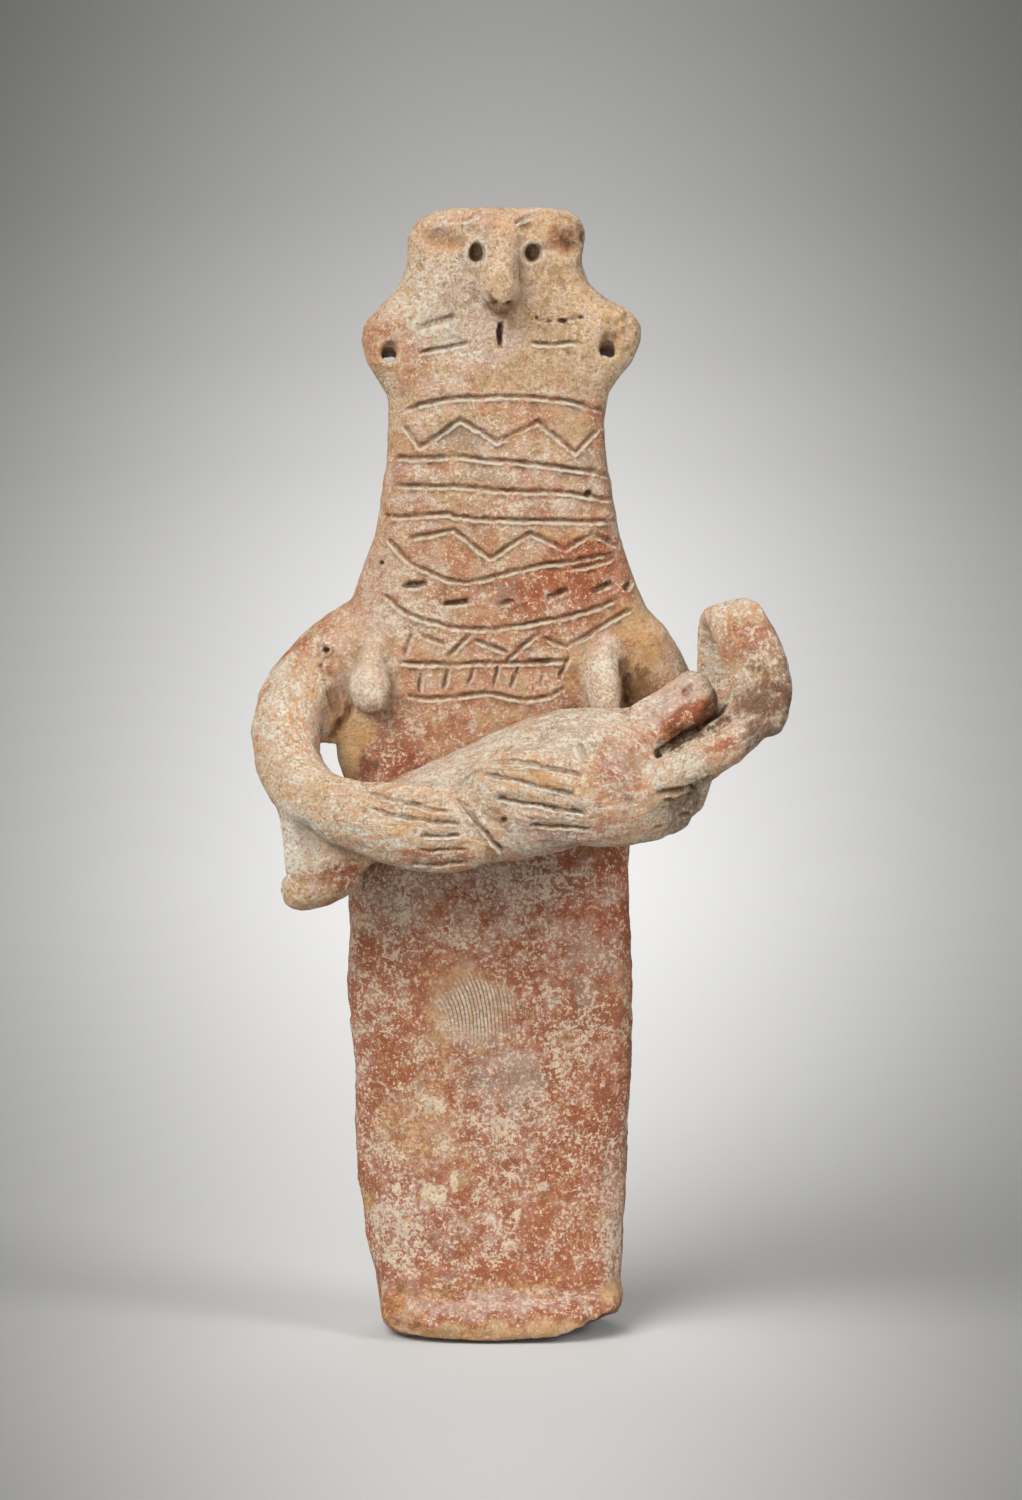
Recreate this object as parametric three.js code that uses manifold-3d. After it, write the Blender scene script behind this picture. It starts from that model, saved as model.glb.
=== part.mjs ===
// A hand-modelled terracotta plank figurine: a standing woman who holds an infant on a cradleboard.
// Millimetres, +Z up. The figure faces -Y and stands on z = 0. Left and right are the viewer's.

import * as THREE from 'three';
import { LoftGeometry } from 'three/addons/geometries/LoftGeometry.js';
import { mergeVertices } from 'three/addons/utils/BufferGeometryUtils.js';
import Module from 'manifold-3d';

const wasm = await Module();
wasm.setup();

// Driving dimensions
const CROWN_HEIGHT = 141.6;
const EAR_HOLE_DIAMETER = 2.1;
const EAR_HOLE_SLOPE = 17;
const EYE_SIZE = [1.8, 2.3];
const EYE_DEPTH = 3.6;
const INFANT_EYE_SIZE = [1.2, 1.2];
const INFANT_EYE_DEPTH = 1.0;
const STROKE_WIDTH = 1.0;
const STROKE_DEPTH = 0.7;
const FINGER_STROKE_WIDTH = 1.1;
const FINGER_STROKE_DEPTH = 0.85;

// How finely the clay is faceted, and how far a groove's wide side stands off the surface
const PLANK_SIDES = 24;
const PLANK_SQUARENESS = 3;
const ROLL_END_REACH = 0.8;
const GROOVE_SPACING = 5;
const GROOVE_STANDOFF = 0.15;
const PUNCH_STANDOFF = 2;

const CLAY_COLOR = 0xb5765a;

// The plank by height: left edge, right edge, front face, back face
const PLANK = [
    [0, -12.4, 12.0, -9.4, 6.2],
    [0.8, -14.3, 13.8, -10.5, 7.0],
    [2.2, -15.4, 14.9, -10.9, 7.4],
    [3.8, -16.0, 15.3, -10.5, 7.2],
    [5.2, -16.3, 15.2, -8.9, 6.8],
    [6.2, -16.5, 14.9, -7.2, 6.4],
    [10, -17.1, 15.3, -6.5, 5.9],
    [19, -18.2, 15.8, -6.0, 5.7],
    [31, -18.4, 16.2, -5.8, 5.6],
    [43, -19.2, 16.6, -5.6, 5.6],
    [56, -19.2, 16.0, -5.6, 5.5],
    [70, -19.3, 16.4, -5.6, 5.4],
    [76, -20.5, 17.2, -5.6, 5.3],
    [81, -20.4, 18.6, -5.6, 5.2],
    [87, -20.4, 19.6, -5.4, 5.1],
    [92, -18.8, 18.2, -5.3, 5.0],
    [97, -17.2, 15.9, -5.2, 4.9],
    [102, -15.5, 14.6, -5.0, 4.8],
    [109, -14.4, 13.3, -4.9, 4.7],
    [115, -13.8, 12.9, -4.8, 4.6],
    [118.4, -14.0, 13.3, -4.7, 4.5],
    [120, -15.0, 14.2, -4.6, 4.4],
    [122.4, -16.7, 16.3, -4.6, 4.4],
    [125, -17.4, 17.5, -4.6, 4.3],
    [127, -17.1, 17.5, -4.5, 4.2],
    [128.6, -15.8, 16.3, -4.5, 4.2],
    [130.2, -14.1, 13.2, -4.4, 4.1],
    [132.2, -12.4, 10.7, -4.3, 4.1],
    [134.6, -11.6, 9.9, -4.2, 4.0],
    [138.4, -11.6, 10.3, -4.3, 3.8],
    [140, -10.4, 9.9, -4.1, 3.4],
    [141.1, -8.4, 8.7, -2.8, 2.3],
    [CROWN_HEIGHT, -6.0, 6.8, -1.4, 1.0],
];

// Rolls of clay. A station is a centre x, y, z, then the half size in depth, the half size seen
// from the front, and a turn of both about the roll, in degrees.
const HOOD_AXIS = [0.97, 0, 0.22];
const ROLLS = {
    leftArm: {
        stations: [
            [-14.6, 0.0, 90.2, 4.0, 4.4, 0],
            [-19.9, -1.0, 86.4, 4.2, 4.8, 0],
            [-24.6, -2.4, 82.0, 4.3, 4.8, 0],
            [-26.8, -5.2, 76.6, 4.3, 4.4, 0],
            [-25.2, -10.4, 71.2, 4.1, 4.1, 0],
            [-20.6, -15.4, 68.8, 3.8, 4.1, 0],
            [-14.8, -18.4, 67.8, 3.3, 4.9, 0],
            [-8.8, -19.6, 66.9, 2.7, 5.4, 0],
            [-4.4, -19.4, 65.8, 2.2, 4.6, 0],
            [-1.2, -18.8, 64.8, 1.6, 2.6, 0],
            [0.6, -18.2, 64.0, 1.2, 1.2, 0],
        ],
    },
    leftArmpit: {
        sides: 10,
        stations: [
            [-18.4, -0.6, 88.0, 3.2, 4.4, 0],
            [-21.0, -1.6, 82.8, 3.2, 4.4, 0],
            [-22.2, -2.4, 77.0, 2.8, 3.0, 0],
        ],
    },
    leftElbow: {
        sides: 10,
        stations: [
            [-25.6, -8.4, 73.0, 3.2, 2.6, 0],
            [-24.0, -11.6, 67.4, 2.6, 3.8, 0],
            [-22.0, -13.0, 62.4, 2.3, 5.0, 0],
            [-21.8, -12.8, 59.6, 2.2, 4.6, 0],
        ],
    },
    rightArm: {
        stations: [
            [12.4, 0.2, 92.0, 4.0, 4.0, 0],
            [16.6, 0.2, 86.6, 4.3, 4.8, 0],
            [19.6, -0.6, 80.6, 4.4, 5.0, 0],
            [22.0, -3.2, 74.6, 4.4, 4.6, 0],
            [21.6, -8.4, 70.2, 4.2, 4.4, 0],
            [18.2, -14.4, 69.0, 4.0, 4.8, 0],
            [12.6, -18.6, 69.8, 3.3, 5.4, 0],
            [6.6, -20.2, 71.2, 2.6, 5.6, 0],
            [0.6, -19.8, 72.5, 2.0, 4.4, 0],
            [-2.6, -18.6, 73.2, 1.4, 2.8, 0],
        ],
    },
    cradleFoot: {
        sides: 10,
        stations: [
            [-25.2, -12.6, 58.0, 2.9, 2.5, 0],
            [-22.4, -12.4, 58.5, 3.0, 2.6, 0],
            [-18.6, -12.2, 60.0, 2.4, 2.0, 0],
        ],
    },
    palmPad: {
        sides: 10,
        stations: [
            [-10.0, -15.6, 65.0, 3.4, 3.2, 0],
            [-2.0, -17.0, 66.6, 4.2, 4.6, 0],
            [6.0, -16.8, 68.6, 4.4, 5.2, 0],
            [13.0, -15.4, 70.4, 4.0, 4.8, 0],
        ],
    },
    board: {
        squareness: 3,
        stations: [
            [-20.6, -11.4, 63.2, 4.4, 2.2, 64],
            [-14.0, -11.0, 66.8, 4.6, 2.4, 48],
            [-2.0, -10.8, 68.6, 6.4, 2.6, 40],
            [10.0, -10.6, 70.8, 7.6, 2.6, 36],
            [20.0, -10.2, 73.8, 7.6, 2.4, 36],
            [27.4, -9.0, 78.8, 5.6, 2.0, 36],
        ],
    },
    nearRail: {
        sides: 10,
        stations: [
            [8.0, -17.0, 67.0, 2.0, 2.6, 0],
            [15.0, -17.4, 70.0, 2.3, 2.9, 0],
            [22.0, -17.0, 73.6, 2.4, 2.9, 0],
            [28.0, -16.2, 77.2, 2.5, 2.9, 0],
            [30.6, -15.4, 79.8, 2.4, 2.9, 0],
        ],
    },
    hood: {
        reference: HOOD_AXIS,
        sides: 10,
        squareness: 3,
        stations: [
            [31.2, -15.4, 79.4, 3.8, 1.7, 0],
            [32.2, -15.2, 83.6, 3.8, 1.7, 0],
            [30.8, -13.9, 88.4, 3.8, 1.7, 0],
            [28.9, -11.0, 91.9, 3.6, 1.6, 0],
            [27.9, -7.8, 92.0, 3.2, 1.5, 0],
            [27.3, -5.4, 89.2, 3.0, 1.4, 0],
            [27.3, -4.6, 84.0, 3.0, 1.5, 0],
            [27.6, -5.6, 79.0, 3.2, 1.7, 0],
        ],
    },
    infantBody: {
        stations: [
            [-14.0, -11.6, 67.6, 5.2, 3.4, 20],
            [-6.0, -12.8, 69.8, 6.8, 4.6, 20],
            [2.0, -13.0, 72.2, 7.6, 6.0, 20],
            [9.0, -12.8, 74.4, 7.4, 6.4, 20],
            [15.0, -12.2, 75.8, 6.0, 5.0, 20],
            [18.6, -11.8, 77.2, 4.6, 3.9, 20],
        ],
    },
    infantHead: {
        squareness: 4.5,
        sides: 16,
        stations: [
            [15.6, -12.0, 76.6, 2.9, 2.5, 52],
            [20.2, -11.6, 79.7, 3.0, 2.6, 52],
            [24.4, -11.0, 82.4, 3.0, 2.6, 52],
        ],
    },
    leftBreast: {
        sides: 10,
        stations: [
            [-16.0, -4.4, 87.6, 1.4, 1.4, 0],
            [-16.1, -5.2, 85.0, 2.2, 2.2, 0],
            [-16.2, -6.0, 82.6, 2.8, 2.8, 0],
            [-16.1, -6.6, 81.0, 2.6, 2.2, 0],
        ],
    },
    rightBreast: {
        sides: 10,
        stations: [
            [12.2, -4.6, 87.2, 1.8, 2.0, 0],
            [12.7, -5.8, 83.8, 2.3, 2.3, 0],
            [13.2, -6.8, 80.4, 2.3, 2.2, 0],
        ],
    },
    nose: {
        sides: 10,
        stations: [
            [0.2, -3.0, 139.6, 1.6, 2.4, 0],
            [0.0, -4.0, 136.6, 2.4, 2.4, 0],
            [-0.1, -5.0, 133.6, 3.1, 2.5, 0],
            [0.0, -5.4, 131.8, 3.3, 2.7, 0],
        ],
    },
};

// Incised strokes as x, z pairs seen from the front
const NECK_STROKES = [
    // chin band with its zigzag
    [[-12.1, 116.8], [-5, 118.5], [4.2, 118.6], [12.6, 116.7]],
    [[-12, 115.1], [-9.9, 112.4], [-5, 116], [-0.5, 113.2], [4.6, 115.6], [9.2, 111.8], [12.1, 114.5]],
    // three lines round the neck
    [[-13.3, 111], [-5.3, 111.2], [3.8, 110.4], [13.3, 108.5]],
    [[-13.3, 107.5], [-4.2, 107.5], [3.8, 106.9], [13.8, 105.7]],
    [[-13.9, 103.6], [-6.4, 104.1], [3.8, 103.3], [14.2, 102.9]],
    // zigzag over two hanging necklaces
    [[-11.8, 100.9], [-5.8, 102.1], [-1.3, 98.7], [3.6, 101.8], [7.9, 99.7], [11.3, 101.7], [14.8, 99.7]],
    [[-13.9, 100.8], [-10.4, 97.6], [-5, 95.6], [3.8, 97.4], [14.3, 98.9]],
    [[-14.5, 94], [-10.6, 91.2], [-3, 89.8], [6.5, 91.1], [14.9, 93.7]],
    // dashes between the necklaces
    [[-12.2, 95.1], [-9.2, 95.5]],
    [[-6.9, 92.9], [-4.2, 93.2]],
    [[-0.5, 92.8], [1.7, 93.4]],
    [[5.6, 93.6], [8.4, 94.8]],
    [[11.1, 94.3], [13.8, 95.4]],
    [[16.5, 92.2], [13.5, 90.7], [7.9, 87.6]],
    // zigzag and fringe on the chest
    [[-12.2, 86.2], [-11.2, 89.2]],
    [[-9.9, 89.1], [-6.9, 87.9]],
    [[-6.9, 86.1], [-3.8, 89.2]],
    [[-3.4, 88.6], [0.9, 86.8]],
    [[0.3, 85.6], [4.9, 89.5]],
    [[5.2, 88.7], [8.4, 87.5]],
    [[-12.7, 85.6], [-0.2, 85.5], [8.1, 85.8]],
    [[-11.7, 81.5], [-1.6, 81.8], [8.1, 82.6]],
];
const FRINGE = { count: 7, first: -10.1, last: 8.2, top: 84.8, bottom: 82.3, lean: -0.8 };
const FACE_STROKES = [
    [[-10.5, 127.1], [-5.4, 128.7]],
    [[-10.2, 124.2], [-3.8, 125.3]],
    [[4.2, 128.3], [10.4, 128.2]],
    [[3.4, 125.2], [9.8, 125.5]],
    [[-0.1, 127.8], [-0.2, 124.5]],
];
const CROWN_ZIGZAG = { peaks: 4, from: -9.2, to: 8.6, low: 139.6, high: 140.6 };
const FINGER_STROKES = [
    [[-16.2, 71.5], [-11.3, 70.6], [-6.3, 69.7]],
    [[-15.8, 69.8], [-9.8, 68.6], [-4.8, 68]],
    [[-9.9, 66.7], [-4.9, 66.6]],
    [[-8.2, 64.8], [-4.8, 64.9]],
    [[-11, 63], [-7.8, 62.7], [-3.8, 63.1]],
    [[-1.8, 75.4], [2.1, 75.7], [10.1, 74.2]],
    [[-2.3, 74.1], [2.8, 73.2], [9.2, 71.7]],
    [[-0.6, 71.2], [5.6, 70.2], [10.6, 69.3]],
    [[3.5, 67.8], [11.1, 67.3]],
];

const EAR_HOLES = [[-13.9, 124], [13.2, 124.4]];
const EYES = [[-3.0, 136.4], [3.9, 136.4]];

// The lifted underside of the foot's front lip, as x and z seen from the front, and where it starts
const LIP_BACK = -6.6;
const LIP_UNDERSIDE = [
    [-20, 2.1],
    [-15.2, 1.8],
    [-13.4, 1.0],
    [-9, 0.6],
    [0, 0.6],
    [7.4, 1.0],
    [10.4, 2.0],
    [12.6, 3.1],
    [15.0, 3.6],
    [20, 4.2],
];
const INFANT_EYE = [22.8, 83];

// Smooth values between the rows of a table whose first column is the parameter
function sampler(rows) {
    const parameters = rows.map((row) => row[0]);
    const values = rows.flatMap((row) => row.slice(1));
    const track = new THREE.CubicInterpolant(parameters, values, rows[0].length - 1);
    return (parameter) => Array.from(track.evaluate(parameter));
}

// A point of a squared-off ellipse, with exponent 2 for a plain one
function ringOffset(angle, squareness) {
    const power = 2 / squareness;
    const across = Math.cos(angle);
    const along = Math.sin(angle);
    return [Math.sign(across) * Math.abs(across) ** power, Math.sign(along) * Math.abs(along) ** power];
}

// A closed geometry as a solid that can be joined and cut
function solidFrom(geometry) {
    const plain = new THREE.BufferGeometry();
    plain.setAttribute('position', geometry.getAttribute('position'));
    if (geometry.index) {
        plain.setIndex(geometry.index);
    }
    const merged = mergeVertices(plain, 1e-4);
    const mesh = new wasm.Mesh({
        numProp: 3,
        vertProperties: merged.attributes.position.array,
        triVerts: merged.index.array,
    });
    return new wasm.Manifold(mesh);
}

// A joined solid back as a geometry
function geometryFrom(solid) {
    const mesh = solid.getMesh();
    const geometry = new THREE.BufferGeometry();
    geometry.setAttribute('position', new THREE.BufferAttribute(mesh.vertProperties, mesh.numProp));
    geometry.setIndex(new THREE.BufferAttribute(mesh.triVerts, 1));
    geometry.computeVertexNormals();
    return geometry;
}

// The plank: feet, body, neck and the flat head with its ears
function plank() {
    const body = [];
    for (const [z, left, right, front, back] of PLANK) {
        const section = [];
        for (let side = 0; side < PLANK_SIDES; side += 1) {
            const [across, along] = ringOffset((side / PLANK_SIDES) * 2 * Math.PI, PLANK_SQUARENESS);
            const x = (left + right) / 2 + across * (right - left) / 2;
            const y = (front + back) / 2 + along * (back - front) / 2;
            section.push(new THREE.Vector3(x, y, z));
        }
        body.push(section);
    }
    return solidFrom(new LoftGeometry(body, { capStart: true, capEnd: true }));
}

// One section of a roll: a ring round a station
function rollSection(station, tangent, reference, options, scale) {
    const [x, y, z, deep, tall, turn] = station;
    const depthways = reference.clone().addScaledVector(tangent, -reference.dot(tangent)).normalize();
    const upright = new THREE.Vector3().crossVectors(tangent, depthways);
    const angle = THREE.MathUtils.degToRad(turn);
    const wide = depthways.clone().multiplyScalar(Math.cos(angle)).addScaledVector(upright, Math.sin(angle));
    const thick = new THREE.Vector3().crossVectors(tangent, wide);
    const section = [];
    for (let side = 0; side < options.sides; side += 1) {
        const [across, along] = ringOffset((side / options.sides) * 2 * Math.PI, options.squareness);
        const point = new THREE.Vector3(x, y, z);
        point.addScaledVector(wide, across * deep * scale);
        point.addScaledVector(thick, along * tall * scale);
        section.push(point);
    }
    return section;
}

// A roll of clay with rounded ends, lofted along its stations
function roll({ stations, reference = [0, 1, 0], squareness = 2, sides = 12, steps = 2, ends = [0.5, 0.9] }) {
    const at = sampler(stations.map((station, index) => [index, ...station]));
    const axis = new THREE.Vector3(...reference);
    const last = stations.length - 1;
    const nudge = 0.02;
    const tangentAt = (parameter) => {
        const ahead = new THREE.Vector3().fromArray(at(Math.min(parameter + nudge, last)));
        const behind = new THREE.Vector3().fromArray(at(Math.max(parameter - nudge, 0)));
        return ahead.sub(behind).normalize();
    };
    const options = { sides, squareness };
    const endRings = (parameter, direction) => {
        const station = at(parameter);
        const tangent = tangentAt(parameter);
        const reach = Math.min(station[3], station[4]) * ROLL_END_REACH;
        return ends.map((share) => {
            const moved = [...station];
            moved[0] += tangent.x * reach * share * direction;
            moved[1] += tangent.y * reach * share * direction;
            moved[2] += tangent.z * reach * share * direction;
            return rollSection(moved, tangent, axis, options, Math.sqrt(1 - share * share));
        });
    };
    const body = endRings(0, -1).reverse();
    for (let step = 0; step <= last * steps; step += 1) {
        const parameter = step / steps;
        body.push(rollSection(at(parameter), tangentAt(parameter), axis, options, 1));
    }
    body.push(...endRings(last, 1));
    return solidFrom(new LoftGeometry(body, { capStart: true, capEnd: true }));
}

// A punch pushed straight into the front, from just off the surface to the given depth
function punch([x, z], [width, height], frontAt, depth) {
    const length = depth + PUNCH_STANDOFF;
    const geometry = new THREE.CylinderGeometry(0.5, 0.5, length, 12);
    geometry.scale(width, 1, height);
    geometry.translate(x, frontAt(x, z) - PUNCH_STANDOFF + length / 2, z);
    return solidFrom(geometry);
}

// A hole right through an ear, entered at the front and coming out lower at the back
function earHole([x, z], frontAt) {
    const length = 24;
    const geometry = new THREE.CylinderGeometry(EAR_HOLE_DIAMETER / 2, EAR_HOLE_DIAMETER / 2, length, 12);
    geometry.rotateX(-THREE.MathUtils.degToRad(EAR_HOLE_SLOPE));
    geometry.translate(x, frontAt(x, z), z);
    return solidFrom(geometry);
}

// The front surface over x, z pairs, found by looking along +Y
function frontFinder(solid) {
    const target = new THREE.Mesh(geometryFrom(solid), new THREE.MeshBasicMaterial());
    const caster = new THREE.Raycaster();
    const ahead = new THREE.Vector3(0, 1, 0);
    return (x, z) => {
        caster.set(new THREE.Vector3(x, -60, z), ahead);
        const hits = caster.intersectObject(target);
        return hits.length ? hits[0].point.y : null;
    };
}

// A stroke's corners with further points between them, so that a groove can bend with the surface
function strokePoints(stroke) {
    const points = [stroke[0]];
    for (let corner = 1; corner < stroke.length; corner += 1) {
        const [fromX, fromZ] = stroke[corner - 1];
        const [toX, toZ] = stroke[corner];
        const pieces = Math.max(1, Math.round(Math.hypot(toX - fromX, toZ - fromZ) / GROOVE_SPACING));
        for (let piece = 1; piece <= pieces; piece += 1) {
            const share = piece / pieces;
            points.push([THREE.MathUtils.lerp(fromX, toX, share), THREE.MathUtils.lerp(fromZ, toZ, share)]);
        }
    }
    return points;
}

// A V-shaped groove that follows the front surface under a stroke
function groove(stroke, frontAt, width, depth) {
    const points = strokePoints(stroke);
    const stations = points.map(([x, z]) => [x, frontAt(x, z) - GROOVE_STANDOFF, z, depth, width / 2, 0]);
    return roll({ stations, sides: 4, steps: 1, ends: [] });
}

// What is missing under the foot's front lip
function underLip() {
    const floor = -2;
    const front = -30;
    const edge = [[LIP_UNDERSIDE.at(-1)[0], floor], [LIP_UNDERSIDE[0][0], floor], ...LIP_UNDERSIDE];
    const outline = new THREE.Shape(edge.map(([x, z]) => new THREE.Vector2(x, z)));
    const geometry = new THREE.ExtrudeGeometry(outline, { depth: LIP_BACK - front, bevelEnabled: false });
    geometry.rotateX(Math.PI / 2);
    geometry.translate(0, LIP_BACK, 0);
    return solidFrom(geometry);
}

// Short slanting strokes in a row
function fringeStrokes({ count, first, last, top, bottom, lean }) {
    return Array.from({ length: count }, (_, index) => {
        const x = THREE.MathUtils.lerp(first, last, index / (count - 1));
        return [[x, top], [x + lean, bottom]];
    });
}

// One stroke that goes up and down between two heights
function zigzagStroke({ peaks, from, to, low, high }) {
    const corners = peaks * 2;
    return Array.from({ length: corners + 1 }, (_, corner) => {
        const x = THREE.MathUtils.lerp(from, to, corner / corners);
        return [x, corner % 2 ? high : low];
    });
}

// The whole figure: the plank with every roll pressed on, then pierced and incised
function figurine() {
    let clay = plank();
    for (const shape of Object.values(ROLLS)) {
        clay = clay.add(roll(shape));
    }
    const frontAt = frontFinder(clay);
    clay = clay.subtract(underLip());
    const marks = [...NECK_STROKES, ...FACE_STROKES, ...fringeStrokes(FRINGE), zigzagStroke(CROWN_ZIGZAG)];
    const cutters = [
        ...EAR_HOLES.map((hole) => earHole(hole, frontAt)),
        ...EYES.map((eye) => punch(eye, EYE_SIZE, frontAt, EYE_DEPTH)),
        punch(INFANT_EYE, INFANT_EYE_SIZE, frontAt, INFANT_EYE_DEPTH),
        ...marks.map((stroke) => groove(stroke, frontAt, STROKE_WIDTH, STROKE_DEPTH)),
        ...FINGER_STROKES.map((stroke) => groove(stroke, frontAt, FINGER_STROKE_WIDTH, FINGER_STROKE_DEPTH)),
    ];
    for (const cutter of cutters) {
        clay = clay.subtract(cutter);
    }
    return geometryFrom(clay);
}

const material = new THREE.MeshStandardMaterial({ color: CLAY_COLOR, roughness: 0.9, metalness: 0 });
const mesh = new THREE.Mesh(figurine(), material);
mesh.name = 'figurine';

const group = new THREE.Group();
group.add(mesh);

export default group;
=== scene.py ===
"""A hand-modelled terracotta plank figurine: a standing woman who holds an infant on a cradleboard.

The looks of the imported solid: its clay is gone over finely, incised, chipped and coated with worn slip
and lime. Sculpting is in millimetres, and the finished piece is in metres, in the frame of the part.
The figure faces -Y. Left and right are the viewer's.
"""

import math
from contextlib import contextmanager
from dataclasses import dataclass

import bmesh
import bpy
import numpy as np
from mathutils import Matrix, Vector, noise
from mathutils.kdtree import KDTree


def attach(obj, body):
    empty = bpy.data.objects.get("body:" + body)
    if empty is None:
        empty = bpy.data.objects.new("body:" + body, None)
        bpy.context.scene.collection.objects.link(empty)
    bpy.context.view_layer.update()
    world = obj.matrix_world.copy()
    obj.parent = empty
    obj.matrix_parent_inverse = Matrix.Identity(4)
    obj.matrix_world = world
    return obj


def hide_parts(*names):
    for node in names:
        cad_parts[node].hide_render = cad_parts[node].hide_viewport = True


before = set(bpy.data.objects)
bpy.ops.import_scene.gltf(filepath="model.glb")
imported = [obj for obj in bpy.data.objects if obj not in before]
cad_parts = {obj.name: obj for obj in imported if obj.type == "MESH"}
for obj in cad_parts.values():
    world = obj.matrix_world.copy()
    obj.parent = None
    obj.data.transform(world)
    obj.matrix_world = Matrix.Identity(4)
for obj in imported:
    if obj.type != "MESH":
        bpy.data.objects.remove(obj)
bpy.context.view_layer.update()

MM = 0.001

# The strokes shake in the same way in every run
noise.seed_set(1)

# How finely the clay is worked
VOXEL = 0.34
TRIANGLES = 196_000

# The camera of the photograph, which looks slightly down on the figure
CAMERA_LENS = 192
CAMERA_SENSOR = 36
CAMERA_ELEVATION = 9
CAMERA_DISTANCE = 1.0
CAMERA_TARGET = (0.00125, 0, 0.0737)

# Strokes: how closely they are sampled, the length of a hand's shake, how far each side of a stroke the
# clay is worked finer and how far it moves, and where across a stroke, in half widths, it is deepest
SAMPLE = 0.15
WOBBLE = 2.6
STROKE_BAND = 1.1
STROKE_REACH = 1.76
DEEPEST = -0.5

# How far pits, and patches and rims, reach through the surface, and where the surface of the face lies
PIT_DEEP = 4
PATCH_DEEP = 6
FACE_Y = -4.6

# Incised strokes: how hard each was drawn, then x and z of its corners seen from the front, in turn
CURVED = [
    # Chin band
    (1, -12.1, 116.8, -9.2, 117.8, -4.9, 118.5, 0, 118.8, 4.2, 118.6, 8.5, 118.1, 12.6, 116.7),
    # Neck line
    (1, -13.3, 111, -5.3, 111.2, -1, 110.8, 3.8, 110.4, 8.1, 109.8, 11.3, 109.3, 13.7, 108.3),
    (1, -13.3, 107.5, -9.1, 107.5, -4.2, 107.5, -0.5, 107.1, 3.8, 106.9, 9.2, 106.6, 14, 105.6),
    (1, -13.9, 103.6, -9.6, 103.9, -6.4, 104.2, -4.8, 103.7, 3.8, 103.3, 9.2, 103.2, 14.3, 102.9),
    # First necklace
    (1, -13.9, 100.8, -11.5, 98.3, -8.5, 96.7, -5, 95.6, -1, 96.4, 3.8, 97.5, 9.2, 98.3, 14.3, 98.9),
    # Its right end
    (1, 8.4, 97.3, 11.9, 97.8, 14.3, 98.6),
    # Second and third necklace
    (1, -14.5, 94, -11.8, 91.8, -8.8, 90.7, -5.6, 89.9, -1.6, 89.8, 2.2, 90.3, 10.6, 92, 14.9, 93.7),
    (1, 16.5, 92.2, 13.5, 90.7, 10.3, 88.8, 7.9, 87.6),
    # Chest line
    (1, -12.7, 85.6, -6.9, 85.4, -0.2, 85.6, 3.8, 85.6, 8.1, 85.8),
    (1, -11.7, 81.5, -9.6, 81.1, -6.1, 81.3, -1.6, 81.8, 2.8, 81.1, 6, 81.5, 8.1, 82.6),
]
STRAIGHT = [
    # Chin zigzag
    (0.9, -12, 115.1, -9.9, 112.4, -5, 116, -0.5, 113.2, 4.6, 115.6, 9.2, 111.8, 12.1, 114.5),
    # Neck zigzag
    (1, -11.8, 100.9, -5.8, 102.1, -1.3, 98.7, 3.6, 101.8, 7.9, 99.7, 11.3, 101.7, 14.8, 99.7),
    # Chest zigzag
    (1, -12.2, 86.2, -11.2, 89.2), (1, -9.9, 89.1, -6.9, 87.9), (1, -6.9, 86.1, -3.8, 89.2),
    (1, -3.4, 88.6, 0.9, 86.8), (1, 0.3, 85.6, 4.9, 89.5), (1, 5.2, 88.7, 8.4, 87.5),
    # Crown stroke
    (0.6, -9.2, 139.6, -7.6, 140.2, -5.9, 140.5), (1.2, -5.2, 140.2, -2.4, 141.4),
    (1, 1.6, 140.2, 4.7, 141.4),
]
SLITS = [
    # Cheek
    (1, -10.3, 124.1, -7, 124.7, -3.6, 125.4), (0.8, 3.3, 125.4, 6.6, 125.2, 10, 125.4),
    (0.4, 3.9, 128.3, 5.6, 128, 7.4, 128, 9.9, 128.4),
    # Fringe
    (1, -10.1, 84.2, -10.3, 81.5), (1, -6.5, 84.9, -7.3, 82), (1, -3.4, 84.9, -4.3, 82.6),
    (1, -0.3, 85.4, -1.1, 82.3), (1, 2.1, 85.3, 1.1, 82.3), (0.6, 5.2, 84.5, 4.6, 82.6),
    (1, 8.4, 86.4, 7.1, 83.4),
]
HOLES = [
    # Mouth
    (1.5, -0.1, 127.9, -0.1, 126.4, -0.2, 124.6),
    # Slot on chest line
    (1, 3.2, 85.7, 6.2, 85.8),
    # Nick on neck line
    (1, 10.3, 106.6, 11.5, 106.6),
    # Dash
    (1, -12.4, 95, -9, 95.5), (1.3, -7.2, 92.8, -4, 93.2), (0.6, -0.5, 92.8, 1.7, 93.4),
    (0.9, 5.6, 93.6, 8.4, 94.8), (0.9, 11.1, 94.3, 13.8, 95.4), (1, 15.2, 94.4, 16.3, 95.4),
]
# Seams where one roll of clay lies against another
FOLDS = [
    # Arm on the body
    (1, -22.1, 85.3, -21.2, 83.4, -20.8, 81.2, -20.2, 78.7),
    # Arm under the breast
    (1, -18.9, 80.6, -19, 78.9, -20, 77.7, -20.7, 76.5, -21.2, 75.4),
    # Right breast
    (1, 15.4, 86, 15.5, 83, 15.4, 80),
]
SEAMS = [
    # Under the near rail
    (1, 19, 71.5, 21.2, 71.6, 23.3, 71.9, 24.9, 72.6, 26, 73.4),
]
SLOT = [
    # Under the infant's head
    (1, 18.8, 75.7, 20.6, 76.6, 23.1, 77.8, 25.7, 79, 28.2, 80.6),
]
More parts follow.
